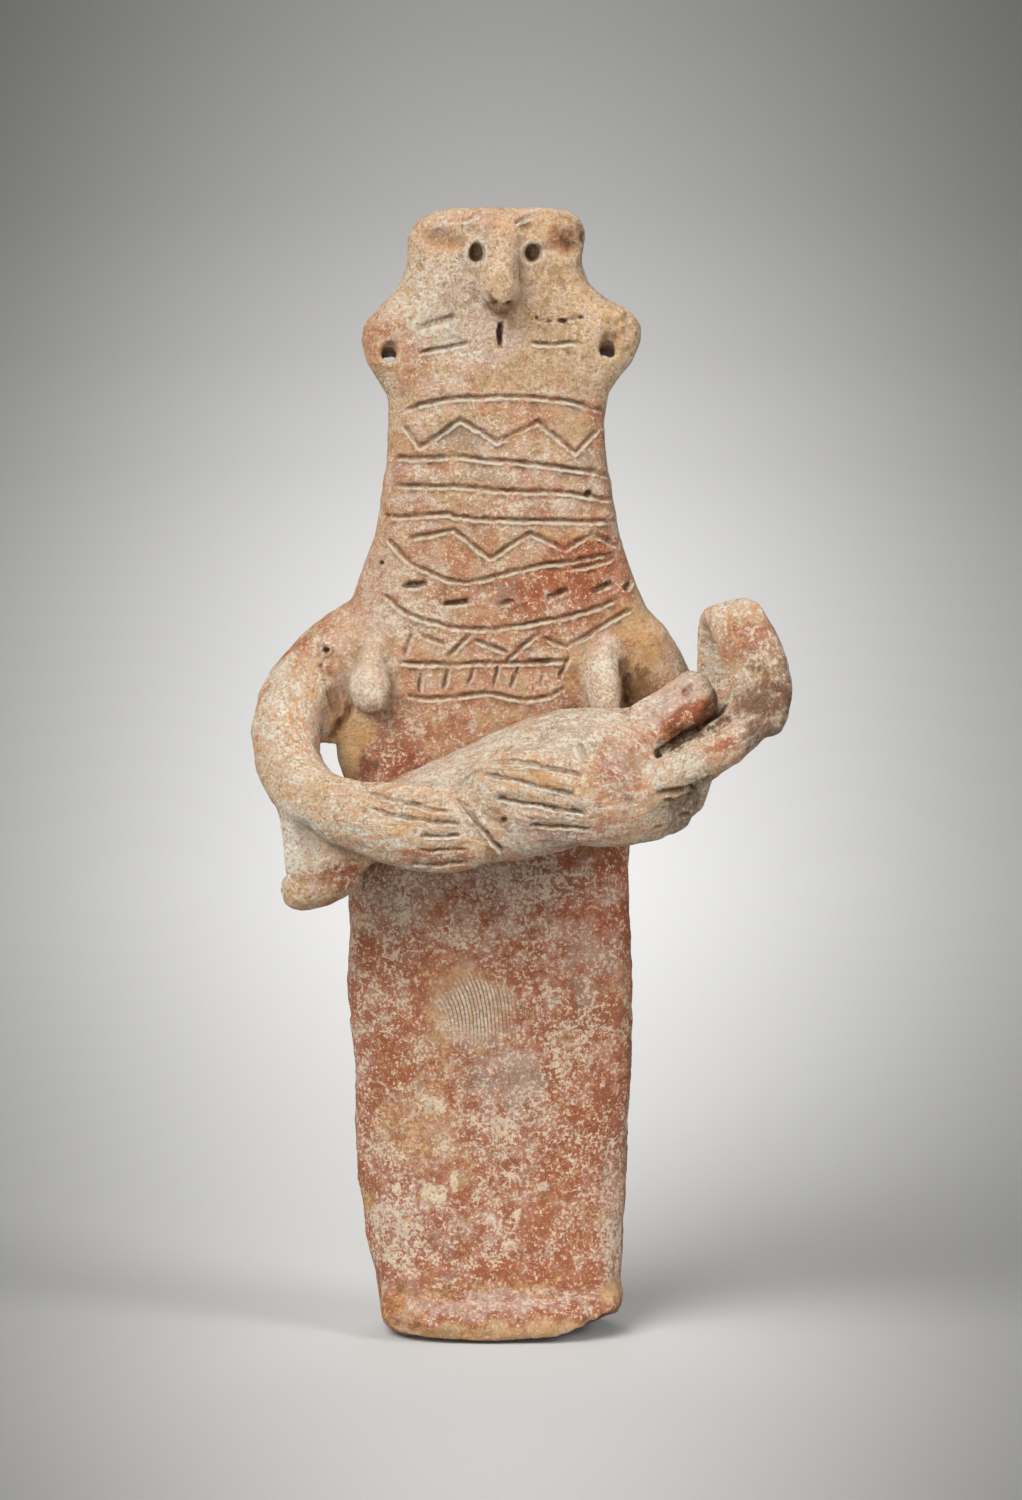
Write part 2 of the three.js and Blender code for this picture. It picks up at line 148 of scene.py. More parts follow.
# Light scratches, and the lines between fingers
SOFT = [
    # Cheek
    (1, -10.6, 127.1, -8, 127.9, -5.3, 128.7),
    # Scratch on swaddle
    (1, 9.6, 77.6, 10.4, 76.2, 10.8, 75.4),
    # Scratch on hood
    (0.7, 30.8, 85.8, 33.6, 88.2), (0.7, 31.8, 86.6, 33, 85.6), (1, 33.4, 84.6, 34.4, 82.9),
    # Crack on hood
    (0.4, 31.2, 76.8, 33.4, 78.2),
]
FINGERS = [
    # Left hand
    (1, -16.2, 71.5, -14.1, 71.1, -11.3, 70.6, -8.5, 69.8, -6.3, 69.7),
    (1, -15.8, 69.8, -13, 69.1, -9.8, 68.6, -4.8, 68), (1, -9.9, 66.7, -7.3, 66.5, -4.9, 66.6),
    (0.8, -10.2, 64.9, -8.2, 64.7, -4, 64.9), (0.8, -11, 63, -7.8, 62.7, -3.8, 63.1),
    # Right hand
    (1, -1.8, 75.4, 2.1, 75.7, 6.9, 74.9, 10.1, 74.2), (1, -2.3, 74.1, 2.8, 73.2, 9.2, 71.7),
    (1, -0.6, 71.2, 5.6, 70.2, 10.6, 69.3), (1, 3.5, 67.8, 11.1, 67.3),
]
CREASES = [
    # Between the hands
    (1, -5, 71, -4, 69.6, -2.4, 67.6, -0.4, 65.2, 0.7, 64.4),
]
BACK_LINES = [
    # Neck line
    (1, -13, 109.6, -6, 110.4, 1, 110.8, 7, 110.2, 13, 110.4),
    (1, -13.2, 105.8, -5, 106.6, 3, 106.4, 13.2, 106.8), (1, -13.6, 102.2, -4, 102.8, 5, 102.4, 13.6, 103),
]


@dataclass
class Tool:
    """Half width, depth, height of the lip that it throws up, and the y range of the clay it cuts.

    A steep cut has a flat bottom, a dip lets the clay between two strokes swell, and dark is painted shade in
    it.
    """

    half: float
    depth: float
    lip: float = 0.1
    low: float = -9.5
    high: float = -1
    steep: float = 1
    dip: float = 0
    dark: float = 0
    shake: float = 0.14
    facing: int = -1
    turned: float = 0.15


STYLUS = Tool(0.39, 0.5, 0.22)
BLADE = Tool(0.34, 0.5, steep=1.3)
POINT = Tool(0.46, 0.95, steep=1.5, dark=0.9, shake=0.03)
THUMBNAIL = Tool(0.62, 0.3, 0.06, -22)
COMB = Tool(0.33, 0.46, 0.14, -40, -12.5, dip=0.22)
CREASE = Tool(0.42, 0.8, 0.45, -40, -12.5, dark=0.7)
FOLD = Tool(0.9, 0.35, 0, -14, 1.5)
SEAM = Tool(0.7, 1, 0, -40, -8, dark=0.7)
SLOT_KNIFE = Tool(0.55, 1.4, 0, -20, -6, steep=1.8, dark=1.3, turned=0)
BACK_STYLUS = Tool(0.56, 0.36, 0.1, 1, 9, facing=1)


# Where rolls of clay were smeared together: a centre, a radius and how fully the hollow is filled
SMEARS = {
    "left armpit": (-19.5, -2, 85.5, 5, 0.4),
    "gap top": (-20.4, -2, 77, 3, 0.8),
    "left elbow on the slab": (-24, -12, 66.5, 5.5, 0.8),
    "left hand on the swaddle": (-9, -16.5, 73, 7, 0.9),
    "hands together": (-3.5, -17.5, 69, 6, 0.8),
    "right hand above": (4, -17.5, 77, 7, 1),
    "right wrist above": (11, -15.5, 77, 5, 1),
    "right hand below": (3, -18, 65.5, 7, 1),
    "left hand below": (-9, -17, 63.5, 6, 0.9),
    "right wrist below": (14, -15, 66.5, 7, 1),
    "right elbow": (22, -13, 69, 4.4, 0.9),
    "right shoulder": (15, -3, 88, 7, 1),
    "right upper arm": (19, -3, 82, 5, 0.8),
    "left breast": (-16, -5, 88.4, 3.4, 0.6),
    "right breast": (12.8, -6, 85.5, 4.6, 0.8),
    "hood root": (33.4, -11, 77.6, 5, 1),
    "slab foot": (-21, -12, 60, 4.5, 0.8),
    "nose": (0, -5, 138, 4.4, 0.6),
    "arms on the body": (0, -9, 63, 8, 0.4),
}

# Places whose edges stay crisper: a centre, its reach in x, y and z, and how much
CRISP = {
    "infant head": (21.5, -12, 80.5, 7.5, 6, 6, 1),
    "hood": (30.5, -11, 86, 8, 9, 10, 1),
    "lip of the foot": (0, -9, 3.5, 22, 8, 6, 1),
    "nose": (0, -7, 133, 4, 4, 7, 1),
}

# Places pressed in or heaped up, in turn: a centre, its reach in x, y and z, and how far the clay moves
PRESSES = {
    "crown": [
        (-5.5, -4.4, 140.3, 6, 3, 1.5, 0.6), (1.5, -4.4, 140.6, 5, 3, 1.4, 0.5),
        (8.4, -4.2, 140, 3.4, 3, 1.9, 0.9),
    ],
    "brow": [
        (-6.6, -4.4, 137.8, 4.6, 3, 1.5, -0.6), (8.2, -4.3, 137, 3.2, 3, 2.2, -0.95),
        (-9, -4.4, 138.4, 3.2, 3, 1.5, -0.5),
    ],
    "eye sockets": [(-3.4, -4.6, 135.8, 2.6, 3, 2.8, -0.25), (4.4, -4.6, 135.8, 2.6, 3, 2.8, -0.3)],
    "cheeks": [(-6, -4.6, 130.6, 4.6, 3, 3.8, -0.3), (6.4, -4.6, 131, 4.4, 3, 4, -0.4)],
    "nose": [
        (-1.3, -7, 133.4, 2, 3, 4, 0.5), (0.4, -4.8, 137.4, 2.6, 3, 3.8, 0.7),
        (0, -8, 130.2, 2.4, 3, 1.5, 0.45), (-0.1, -6.4, 129.4, 2.2, 2.6, 1.5, 0.8),
    ],
    "ears": [
        (14.6, -4, 128.8, 1.8, 3, 1.4, 0.6), (-13.6, -4.4, 124.6, 1.6, 2.4, 1.9, -0.9),
        (13.3, -4.4, 125, 1.6, 2.4, 1.8, -0.9),
    ],
    "right eye": [(4.9, -4.6, 136.8, 1.6, 2.4, 0.8, -0.6)],
    "left breast": [(-16.4, -7.4, 83.2, 3.8, 4, 5.2, 0.1)],
    "body by the gap": [(-19.6, -2, 72.8, 2.4, 5, 5.6, 0.9)],
    "backs of the ears": [(-14.2, 3.6, 122.9, 1.6, 3, 1.3, 0.6), (13.6, 3.6, 123.3, 1.6, 3, 1.3, 0.75)],
    "hood corner": [(35.4, -10, 78.2, 3, 7, 2.8, -1.2)],
    "right breast": [(13.2, -6, 82, 2.2, 4, 4, 0.4)],
    "under the left arm": [(-20, -2.5, 77.2, 1.8, 3, 2.4, -0.5)],
    "right elbow": [(22.4, -15, 69.4, 4.6, 3.5, 2.6, -0.7)],
    "infant": [(23.6, -14.5, 79.6, 5.4, 4.5, 2.4, 0.9)],
    "hood side": [(35.2, -10, 81.4, 1.6, 4, 2.2, 0.5)],
    "slab": [(-24, -15, 64.6, 2.6, 4, 4.5, -0.7), (-21.4, -14, 60.4, 1.2, 3, 3, -0.5)],
    "hood": [(31, -15, 86, 2.6, 4, 4, -0.25)],
    "lip of the foot": [
        (-1, -8.6, 5.9, 8, 3, 0.8, -0.4), (-9, -10.6, 3.2, 6, 3, 2.2, 0.3), (9, -10.2, 4.6, 5, 3, 2, 0.3),
        (14.4, -8, 5.6, 2, 3, 1.6, 0.7),
    ],
    "left side": [(-17.4, -6, 5, 3.4, 14, 8, -1.7), (-17.2, -3, 15, 2.6, 12, 9, -0.5)],
    "chips in the lip": [
        (-12.9, -10, 2.2, 1, 3, 1.2, -0.7), (-10.6, -10.4, 2, 0.9, 3, 1, -0.6),
        (11, -10.4, 2.6, 1.1, 3, 1, -0.6),
    ],
    "lower body": [(0, -5.6, 47, 10, 3, 10, -0.35), (9, -5.8, 27, 7, 3, 12, 0.3)],
}

# Small holes and dimples: x, z, y near the surface, half width, half height, depth and height of the rim
PITS = {
    "nostrils": [(-0.75, 130.6, -9, 0.45, 0.42, 0.9, 0.05), (1, 130.5, -9, 0.45, 0.4, 0.8, 0.05)],
    "right cheek": [
        (4.4, 128.4, -4.5, 0.22, 0.34, 0.6, 0), (6, 128, -4.5, 0.5, 0.2, 0.5, 0),
        (7.6, 128, -4.5, 0.62, 0.32, 0.8, 0.08), (9.9, 128.4, -4.5, 0.46, 0.3, 0.7, 0.05),
    ],
    "left shoulder": [(-21.7, 87.1, -5, 0.5, 0.5, 1.9, 0.3), (-22.4, 85.2, -5, 0.5, 0.34, 0.4, 0)],
    "neck": [(-14.1, 103.6, -2.5, 0.35, 0.35, 0.8, 0.05), (-14.8, 97.8, -2.5, 0.38, 0.38, 0.9, 0.05)],
    "infant": [(23.2, 83.6, -16, 0.5, 0.5, 0.7, 0.08)],
    "hand": [(0.4, 68.4, -21, 0.5, 0.5, 0.6, 0.05)],
    "elbow": [
        (20.5, 70.4, -16, 1.1, 0.55, 1.2, 0.1), (22.3, 70.7, -15, 0.85, 0.45, 1, 0.05),
        (23.8, 71.5, -14, 0.5, 0.6, 0.9, 0.05), (25, 71.3, -13, 0.45, 0.6, 0.9, 0.05),
        (22.7, 67.9, -15, 0.9, 0.45, 0.9, 0), (19.4, 66.9, -15.5, 0.9, 0.4, 0.8, 0),
    ],
    "body": [(-5.6, 57.2, -6, 0.4, 0.4, 0.4, 0)],
}

# Places where the skin of the clay is rough or flaked: a centre, its reach and the roughness
ROUGH = {
    "crown corner right": (9.4, -3.5, 139, 3, 4, 3.2, 0.45),
    "brow right": (8.6, -4.4, 138, 2.6, 3, 2, 0.34),
    "cheek right": (8, -4.5, 128.4, 4.4, 3, 2, 0.22),
    "right ear": (14.8, -3.5, 126.4, 3.6, 4, 4.2, 0.36),
    "left ear edge": (-16.4, -3, 127, 2.4, 4, 3.4, 0.15),
    "left shoulder": (-21.6, -4, 85.2, 2.8, 4, 4, 0.2),
    "beside the left breast": (-13, -5, 81, 1.8, 3, 2.4, 0.25),
    "right palm": (8, -18, 70, 12, 8, 5, 0.16),
    "left hand": (-9, -18, 67, 7, 8, 4.6, 0.12),
    "near rail": (24, -16, 76, 8, 6, 4, 0.18),
    "elbow": (22, -13, 69, 5, 5, 4, 0.24),
    "knob": (-25, -13, 58.4, 4.4, 5, 3.2, 0.22),
    "hood": (32, -12, 83, 5, 6, 9, 0.2),
    "lip of the foot": (0, -9.5, 2.6, 19, 4, 3, 0.2),
    "ledge": (0, -8, 6, 15, 3, 1.2, 0.18),
    "right corner": (14.6, -8, 5, 2.6, 4, 3.4, 0.4),
    "left side": (-18.6, -3, 36, 1.6, 5, 30, 0.18),
    "right side": (15.8, -3, 36, 1.6, 5, 30, 0.2),
}

# Raised rims of the pierced holes: x, z, half width, half height, turn in degrees and height
RIMS = {
    "left eye": (-3, 136.4, 1.05, 1.35, -14, 0.4),
    "right eye": (3.9, 136.4, 1.15, 1.2, 10, 0.34),
    "left ear": (-13.9, 124, 1.2, 1.3, 0, 0.26),
    "right ear": (13.2, 124.4, 1.15, 1.2, 0, 0.16),
}

# Slip and lime film where there is no patch: at these heights, these strengths
PLAIN_COATS = {
    "red": ((0, 60, 80, 100, 115, 121), (0.84, 0.84, 0.52, 0.5, 0.34, 0.06)),
    "film": ((0, 60, 80, 110, 121), (0.36, 0.36, 0.44, 0.4, 0.18)),
}
# Patches of each coat, in groups that start with the y of the surface they lie on. A patch is its centre x
# and z, half width, half height, strength and, if it is turned, the turn in degrees. The face is at y -4.5,
# the neck and chest at -5, the lower body at -5.6, and the arms and the cradleboard from -13 to -19.
PATCHES = {
    "red": [
        (-4.5, (-10.5, 122.2, 2.2, 3.6, 0.5, 10), (-8, 121, 4, 2, 0.3), (-1.5, 121.4, 5, 3, 0.35),
        (6.9, 121, 1.5, 1.4, 0.4), (-14.5, 127.2, 2.4, 1, 0.6, 10), (8.2, 138, 3, 2, 0.6, -10)),
        (-4, (-16.4, 125, 1.2, 3.4, 0.5)), (-4.5, (-8.2, 138.4, 4.2, 1.5, 0.4, -12),
        (-0.4, 129, 2.6, 1, 0.45)), (-4, (-2, 140.8, 7, 1, 0.3)), (-5, (3.2, 117, 5.6, 1.4, 0.55, -3)),
        (-4, (12.6, 114, 1.2, 3.4, 0.7), (-13.4, 110, 1.2, 3, 0.5)), (-5, (3.8, 113.4, 4.2, 1.8, 0.35),
        (8, 108, 4.4, 0.9, 0.5, -5), (-7.6, 99.4, 4.6, 1.8, 0.6), (2.4, 99.8, 4, 1.2, 0.5),
        (10.8, 99.9, 4, 1.2, 0.9, 5), (8.2, 95.4, 8, 3.2, 0.9, 12), (-2, 94, 5, 1.6, 0.7),
        (10, 90.6, 6, 1.6, 0.7, 22), (-8.6, 87, 4, 1.6, 0.55), (-4, 78.2, 11, 3.4, 0.62),
        (-13.8, 72.8, 4.2, 1.9, 1)), (-2, (-25, 87.6, 4.6, 2.6, 0.7, 38)),
        (-14, (-20.4, 60.8, 3.4, 1.5, 1, 10)), (-19, (-7.4, 64.2, 5, 1.6, 0.7), (-8.6, 69, 6, 1, 0.5, -12)),
        (-17, (13.6, 72.6, 3.4, 4.6, 0.8, -10)), (-19, (9, 66.4, 5, 1.6, 0.8, 4), (-0.4, 65.4, 2, 1.4, 0.4)),
        (-15, (15.6, 77, 2.4, 2.4, 0.5), (21.6, 79.4, 5, 1.6, 0.9, 33)), (-17, (27.6, 77, 3, 1.6, 0.7, 40)),
        (-15, (31.4, 81.4, 2.4, 2, 0.5)), (-14, (31, 89.6, 3.8, 3.2, 0.85)),
        (-13, (33.6, 84.6, 2.4, 4.4, 0.8, 10), (-13.4, 73.4, 3, 1.4, 0.5, 20)), (-5.6, (12.4, 55, 5, 6, 1),
        (13.6, 56, 3, 5, 1.3), (0, 50, 9, 4, 0.9), (5.4, 34, 1.4, 4, 0.9, -8), (9.6, 27, 5.6, 7.6, 0.9)),
    ],
    "film": [
        (-4.5, (-6, 128, 6, 8, 0.6), (-9.6, 137, 2.4, 2.6, 0.3)), (-5, (-9.4, 115, 3.4, 2, 0.45),
        (-8, 109, 6, 1.6, 0.4), (-11.6, 95.8, 4.4, 3.4, 0.6, -20)), (-4, (-12.6, 90.6, 4.4, 4, 0.75)),
        (-7, (-16.4, 83.2, 3, 4.4, 0.9), (12.6, 84, 2.4, 4.4, 0.9)), (-3, (-28, 78, 4, 7, 0.6, -8)),
        (-4, (-23.4, 80, 2.4, 3.6, 0.5)), (-13, (-22.6, 70.6, 6, 3.4, 0.7, -30)),
        (-14, (-24.4, 65, 3.4, 5, 1.2)), (-13, (-25, 58.4, 3.4, 2.4, 0.6)), (-19, (-11, 67.4, 6.4, 4.4, 0.7)),
        (-18, (-3, 70, 3.6, 4.6, 0.8)), (-15, (-6, 74, 6.6, 3, 0.9, 22), (8, 78.2, 8, 3, 0.8, 8)),
        (-19, (3, 65.4, 8, 3, 0.6, 8)), (-17, (14.6, 72, 4.4, 4.6, 0.5), (22, 75.6, 6.4, 2.4, 0.7, 33)),
        (-14, (20.8, 82.4, 4.6, 2.2, 0.5, 35)), (-12, (28.4, 93.6, 3.4, 1, 0.6)),
        (-5, (-18.4, 52, 1.6, 12, 0.7), (-17.4, 28, 1.8, 14, 0.5)), (-5.6, (-13.4, 57, 4.6, 5, 0.7),
        (0, 58, 10, 3.4, 0.65), (-3.6, 41.4, 4.8, 4, 0.9, 15), (5.4, 40.4, 4.4, 3.4, 0.4),
        (13, 46.6, 3.4, 3.4, 0.4), (7.2, 35.6, 4, 2.2, 0.4, -10), (-8, 33, 3.6, 5, 0.5),
        (-3.6, 28, 4, 4, 0.4), (-11, 25, 5, 6, 0.7), (1, 24, 4.6, 5.6, 0.55, -15)),
        (-5.8, (-13.4, 14, 3.4, 7, 0.6), (-4.4, 15.6, 5, 3.4, 0.5), (14.2, 17, 1.6, 10, 0.75)),
        (-9, (12, 5.4, 4, 1.6, 0.5, 10)),
    ],
    "specks": [
        (-5.6, (-2, 25.8, 4.4, 2.8, 0.7, -8), (4.6, 31.6, 4.4, 3.6, 0.3, 20), (9.4, 38, 3.4, 3, 0.7),
        (13.6, 48.6, 2, 2.6, 0.6), (-5, 51.6, 4, 1.6, 0.4)), (-5.8, (-13.6, 12.6, 2.4, 4, 0.4),
        (-3, 12, 6, 3, 0.3), (9.4, 17, 4, 4, 0.3)), (-10, (8, 5.4, 6, 1, 0.4, 6)), (-5, (-9, 92, 5, 4, 0.5)),
    ],
    "ochre": [
        (-4.5, (7, 128.4, 6, 9, 0.45), (7.8, 122.6, 5, 4, 0.5)), (-4, (4, 139.8, 7, 1.8, 0.5)),
        (-4.5, (-7.9, 137.6, 4.4, 1.8, 0.4), (14.8, 126.6, 3.6, 4.4, 0.6), (-13.8, 124, 2.2, 2.2, 0.6)),
        (-7, (0, 134, 2.4, 5, 0.4)), (-5, (9.3, 115.4, 3.2, 1.9, 0.6, -15), (-11.8, 112.3, 2.4, 0.9, 0.8),
        (-3.7, 105.6, 4.4, 1.1, 0.4), (11.3, 104.8, 3, 1.2, 0.5), (6.8, 101.5, 3, 1.2, 0.6),
        (-0.6, 92, 4.4, 1.2, 0.4), (-10.4, 87.4, 3.4, 1.6, 0.5)), (-3, (17.4, 88.6, 2.6, 4.4, 1, 25),
        (16.4, 83, 3.6, 3, 0.8), (-22, 82, 3, 5, 0.5, 20)), (-5.6, (9.6, 84.6, 1.8, 3.4, 0.5)),
        (-4, (-18.4, 76, 2.4, 4.6, 1, -8)), (-14, (-21.6, 69.6, 6, 2.6, 0.5, -32),
        (-21.6, 65, 1.4, 3.6, 0.5, -35), (30.4, 86, 4, 6, 0.35)), (-19, (-10.4, 68.2, 6.4, 3.4, 0.55, -10),
        (4.8, 73.8, 7.6, 2.6, 0.5, -12), (-1, 66.2, 2, 2.6, 0.5)), (-13, (-25.6, 58, 3, 2.4, 0.4)),
        (-5, (-19, 55, 1.2, 5, 0.4)), (-5.6, (-8.2, 37, 1.6, 9, 0.5, 8), (-6, 46.2, 4, 1.6, 0.5, 15),
        (-3.2, 42, 4.4, 3.6, 0.2, 15), (-10.4, 26.6, 5, 5, 0.55)), (-5.4, (-16.2, 16.4, 1, 1, 1),
        (-12.4, 14.8, 0.8, 0.7, 0.8)), (-10.4, (0, 1.6, 15, 1.1, 0.7, 2)), (-9, (-13, 3, 3, 2.6, 0.7)),
        (-8, (14.4, 5.6, 2, 1.8, 0.9), (1.4, 6.6, 5.4, 0.7, 0.8, 1)), (-7.8, (-10, 5.8, 5, 0.8, 0.6)),
    ],
    "grey": [
        (-7, (0, 135.6, 2, 3.6, 0.4)), (-4.5, (7.6, 128.6, 4.4, 5, 0.35), (8.4, 121.6, 4.4, 3.6, 0.5)),
        (-5, (-4.9, 113.5, 3.6, 2, 0.9), (2.8, 112.6, 2.4, 0.9, 0.3), (9.4, 115.4, 3, 1.8, 0.5, -15),
        (10.4, 111, 2, 1.2, 0.8), (-2.2, 108.8, 3.4, 1.2, 0.8), (11, 107.4, 2.6, 0.9, 0.5),
        (-3.7, 105.6, 4, 1.2, 0.6), (4.6, 105.2, 4, 1, 0.4), (8, 102, 3.6, 1, 0.4),
        (0.4, 93.6, 2.2, 1.8, 0.5)), (-14, (-24.6, 66.4, 2.8, 4.4, 0.2)), (-15, (8.6, 78.6, 6.4, 2.4, 0.7)),
        (-19, (4, 67.6, 8, 2.6, 0.6, -4)), (-13, (22.2, 70.4, 5, 5, 1, 20)), (-17, (24, 76.4, 5, 2, 0.4, 33)),
        (-14, (32, 84, 4.6, 8, 0.95)), (-9, (27.6, 86, 2.4, 6, 0.6)), (-5.6, (-13, 57, 4.6, 4, 0.4),
        (-11.6, 52, 4.6, 3, 0.4), (2, 54, 5, 3, 0.2), (11.6, 57.6, 3, 2, 0.3, 30), (9.6, 49, 1.6, 1.6, 0.8),
        (10.6, 43.4, 1.4, 2.4, 0.8, 20), (14.4, 47.6, 2, 3.6, 0.5), (-0.4, 33.6, 5.6, 4.4, 0.8)),
        (-5.8, (-9, 12.4, 6, 2.4, 0.35)), (-7.6, (-6, 6.8, 9, 1.2, 0.5)),
    ],
    "pink": [
        (-4.5, (-7.6, 126.6, 4.6, 4, 0.55), (0, 126, 3.6, 3.6, 0.5), (-15, 128.4, 2.6, 1.6, 0.5, 25)),
        (-4.4, (0, 140.4, 5, 1, 0.5)), (-5, (-10.4, 109.4, 4, 1, 0.6), (4, 108.6, 3, 1, 0.6),
        (7, 105, 4.4, 1, 0.5), (-10.4, 105.8, 3.4, 1.2, 0.6), (-9, 102.6, 4.4, 1, 0.6),
        (0.6, 102, 3.4, 1.6, 0.6)), (-3, (-14.6, 92.6, 4, 5, 0.5)), (-4, (-23, 76, 2, 6, 0.4, -10)),
        (-6, (-27, 73, 2.4, 3, 0.5, -30)), (-14, (-25, 62.4, 3, 3.4, 0.5), (-25.6, 66.6, 2.4, 2.6, 0.8)),
        (-15, (-6.6, 73.6, 5.4, 2.4, 0.6, 22)), (-19, (6, 66.4, 8, 2.6, 0.8, 4)),
        (-17, (14.4, 74, 4, 4, 0.6)), (-14, (21, 82.2, 5, 2, 1, 35)), (-17, (22, 75.4, 6, 2, 0.5, 33)),
        (-5, (11.6, 89, 3, 1.8, 0.6, 20), (-7, 78.6, 3.4, 2, 0.3)), (-9.6, (0, 4.8, 13, 1.4, 0.9, 3)),
        (-5.8, (-11, 17, 3.6, 3, 0.6), (-6, 14, 8, 4, 0.45)), (-5.6, (4, 51, 6, 4, 0.3),
        (0.6, 33, 5.6, 4.4, 0.6), (-1, 55.6, 13, 5, 0.5)),
    ],
    # Partly dirt, mostly painted shade: under the brow rim, nose, breasts, arms and ledge, and in creases
    "dirt_and_shade": [
        (-4.5, (-8.3, 138.6, 4, 1.2, 0.35, -12), (7.8, 139.4, 3, 1.3, 0.55, -16), (9.2, 137.8, 1.2, 1, 0.9),
        (13.8, 126.8, 1.4, 1, 0.4)), (-6.5, (-0.2, 129.9, 1.7, 1, 0.75)),
        (-5.6, (-13.4, 80.6, 1.3, 1.2, 0.4)), (-7, (-15.6, 79.4, 2, 0.5, 0.4)),
        (-4, (-19.6, 78.2, 0.9, 0.6, 0.7, 35), (-18.9, 79.8, 0.4, 1.1, 0.6), (-16.6, 72.2, 1.2, 1.6, 0.7)),
        (-3, (-22, 84, 1.6, 2, 0.4), (17.4, 82.2, 3.6, 2.8, 0.9, 10)), (-6, (13.4, 78.9, 2.4, 0.6, 0.8)),
        (-14, (22.6, 80.2, 3.6, 1, 0.5, 33), (23.5, 78.2, 5.4, 0.8, 1, 28), (22.6, 69.4, 4.2, 3, 0.55, 20)),
        (-10, (26.6, 82, 1, 2, 0.5)), (-14, (33, 81.6, 3.8, 5.4, 0.9), (-21.6, 60.4, 2, 1.6, 0.6)),
        (-12, (34.6, 83.4, 1, 4, 0.5, 10)), (-15, (31, 77.6, 2.4, 1.2, 0.4, 35),
        (-20, 65.8, 2.4, 0.7, 0.5, -30)), (-6, (0, 60.8, 17, 1.2, 0.3, 2)), (-5.6, (8.6, 53.4, 1.8, 3, 0.3),
        (1, 49, 7, 2.4, 0.1)), (-7.6, (-9.6, 6, 4.6, 0.5, 0.6, -2)), (-9.6, (-12.8, 2.4, 1.2, 1, 0.7)),
        # First a painted shadow under the raised right corner of the foot
        (-1, (11.5, 1.8, 6.5, 2, 2.2)), (-5, (14.6, 58, 1.2, 3, 0.3)),
    ],
    "flake": [
        (-5.8, (-8.5, 18.25, 1.9, 1.25, 1, -5), (-5.8, 19.95, 0.6, 1.35, 1, 8), (5, 19.2, 0.9, 0.6, 1, 5),
        (2, 15.7, 0.4, 0.9, 1), (-8.6, 29.6, 2, 1.3, 0.8, 10), (-13, 18.5, 0.7, 0.8, 0.9),
        (1.1, 20.6, 0.8, 0.7, 0.9, 20), (-3.05, 17.85, 0.65, 0.55, 0.8), (-13.4, 23, 1.4, 1.2, 0.7),
        (-7.6, 24.6, 1.2, 1, 0.6)), (-5.6, (7, 35, 0.5, 1.7, 0.9, -3), (-4.2, 50.2, 2, 1, 0.6, 10)),
        (-5, (-3.4, 77.6, 0.6, 0.9, 0.8)), (-8.4, (2.4, 6.2, 5.6, 0.35, 0.6, 1)),
        (-14, (32.5, 87.5, 1.9, 0.16, 0.9, 39), (32.5, 87.4, 1.5, 0.14, 0.8, -32)),
    ],
    "bare": [
        (-5.6, (-4, 41.8, 4.6, 3.8, 1, 15), (-4.4, 46.8, 2.6, 1.4, 0.6, 10)),
        (-4.5, (-8, 130, 3.4, 4.4, 0.6)), (-7, (-16, 83.8, 2.4, 3.6, 0.8), (12.8, 84, 2, 4.4, 0.9)),
        (-3, (-28.4, 78, 3.4, 6.4, 0.7, -8), (17.8, 88.6, 2.4, 4, 0.7, 25)),
        (-4, (-18.6, 76, 2.2, 4.4, 0.8, -8)), (-10.4, (0, 1.4, 15, 1.2, 0.8, 2)),
        (-8, (14.4, 5.6, 2, 1.8, 0.8)),
    ],
}
# How far the edges of the patches, and of the flaked spots, wander
PATCH_WANDER = 1.5
FLAKE_WANDER = 0.2

# The maker's fingertip pressed into the wet clay: where its ridges curve round, how far they are drawn out
# upwards, their pitch, and the patch as a centre, its reach and its turn
PRINT_CENTRE = (-10, 38.6)
PRINT_RISE = 0.62
PRINT_PITCH = 0.46
PRINT_PATCH = ((-3.1, -5.6, 41.9), (4.6, PATCH_DEEP, 3.4), -20)

# Runs along which the clay was stroked smooth: x and z of their corners seen from the front, in turn. The
# streaks of one run start this far along from those of the one before, so that they don't match.
RUNS = {
    "left arm": [-17, 89, -24, 86.5, -28.5, 80, -28.6, 74.5, -25, 70.6, -18, 68.6, -10, 67.4, -4, 66.6],
    "slab": [-25.6, 68, -24.8, 64, -24.6, 60, -20, 60.6],
    "right hand": [15, 69, 9, 70, 3, 71.4, -2, 73],
    "swaddle": [-13, 72.6, -7, 74.6, 2, 77.4, 10, 79, 15, 77, 19, 73],
    "near rail": [17, 72.6, 24, 76, 31, 79.6, 34.6, 84, 33.4, 90, 29.6, 92.4],
}
RUN_APART = 40


def smooth_path(points):
    """The corners of a stroke joined by a Catmull-Rom curve, sampled closely."""
    ends = np.vstack([2 * points[0] - points[1], points, 2 * points[-1] - points[-2]])
    path = []
    for a, b, c, d in zip(ends, ends[1:], ends[2:], ends[3:]):
        count = max(2, int(np.linalg.norm(c - b) / SAMPLE))
        for t in np.linspace(0, 1, count, endpoint=False):
            bend = (2 * a - 5 * b + 4 * c - d) * t**2 + (3 * b - a - 3 * c + d) * t**3
            path.append(0.5 * (2 * b + (c - a) * t + bend))
    path.append(points[-1])
    return np.array(path)


def straight_path(points):
    """The corners of a stroke joined by straight lines, sampled closely."""
    path = []
    for start, end in zip(points, points[1:]):
        count = max(2, int(np.linalg.norm(end - start) / SAMPLE))
        path.extend(start + (end - start) * t for t in np.linspace(0, 1, count, endpoint=False))
    path.append(points[-1])
    return np.array(path)


def noise_along(path, size, seed):
    """Noise from -1 to 1 at each sample of a stroke."""
    return np.array([noise.noise(Vector((x / size, seed, z / size))) for x, z in path])


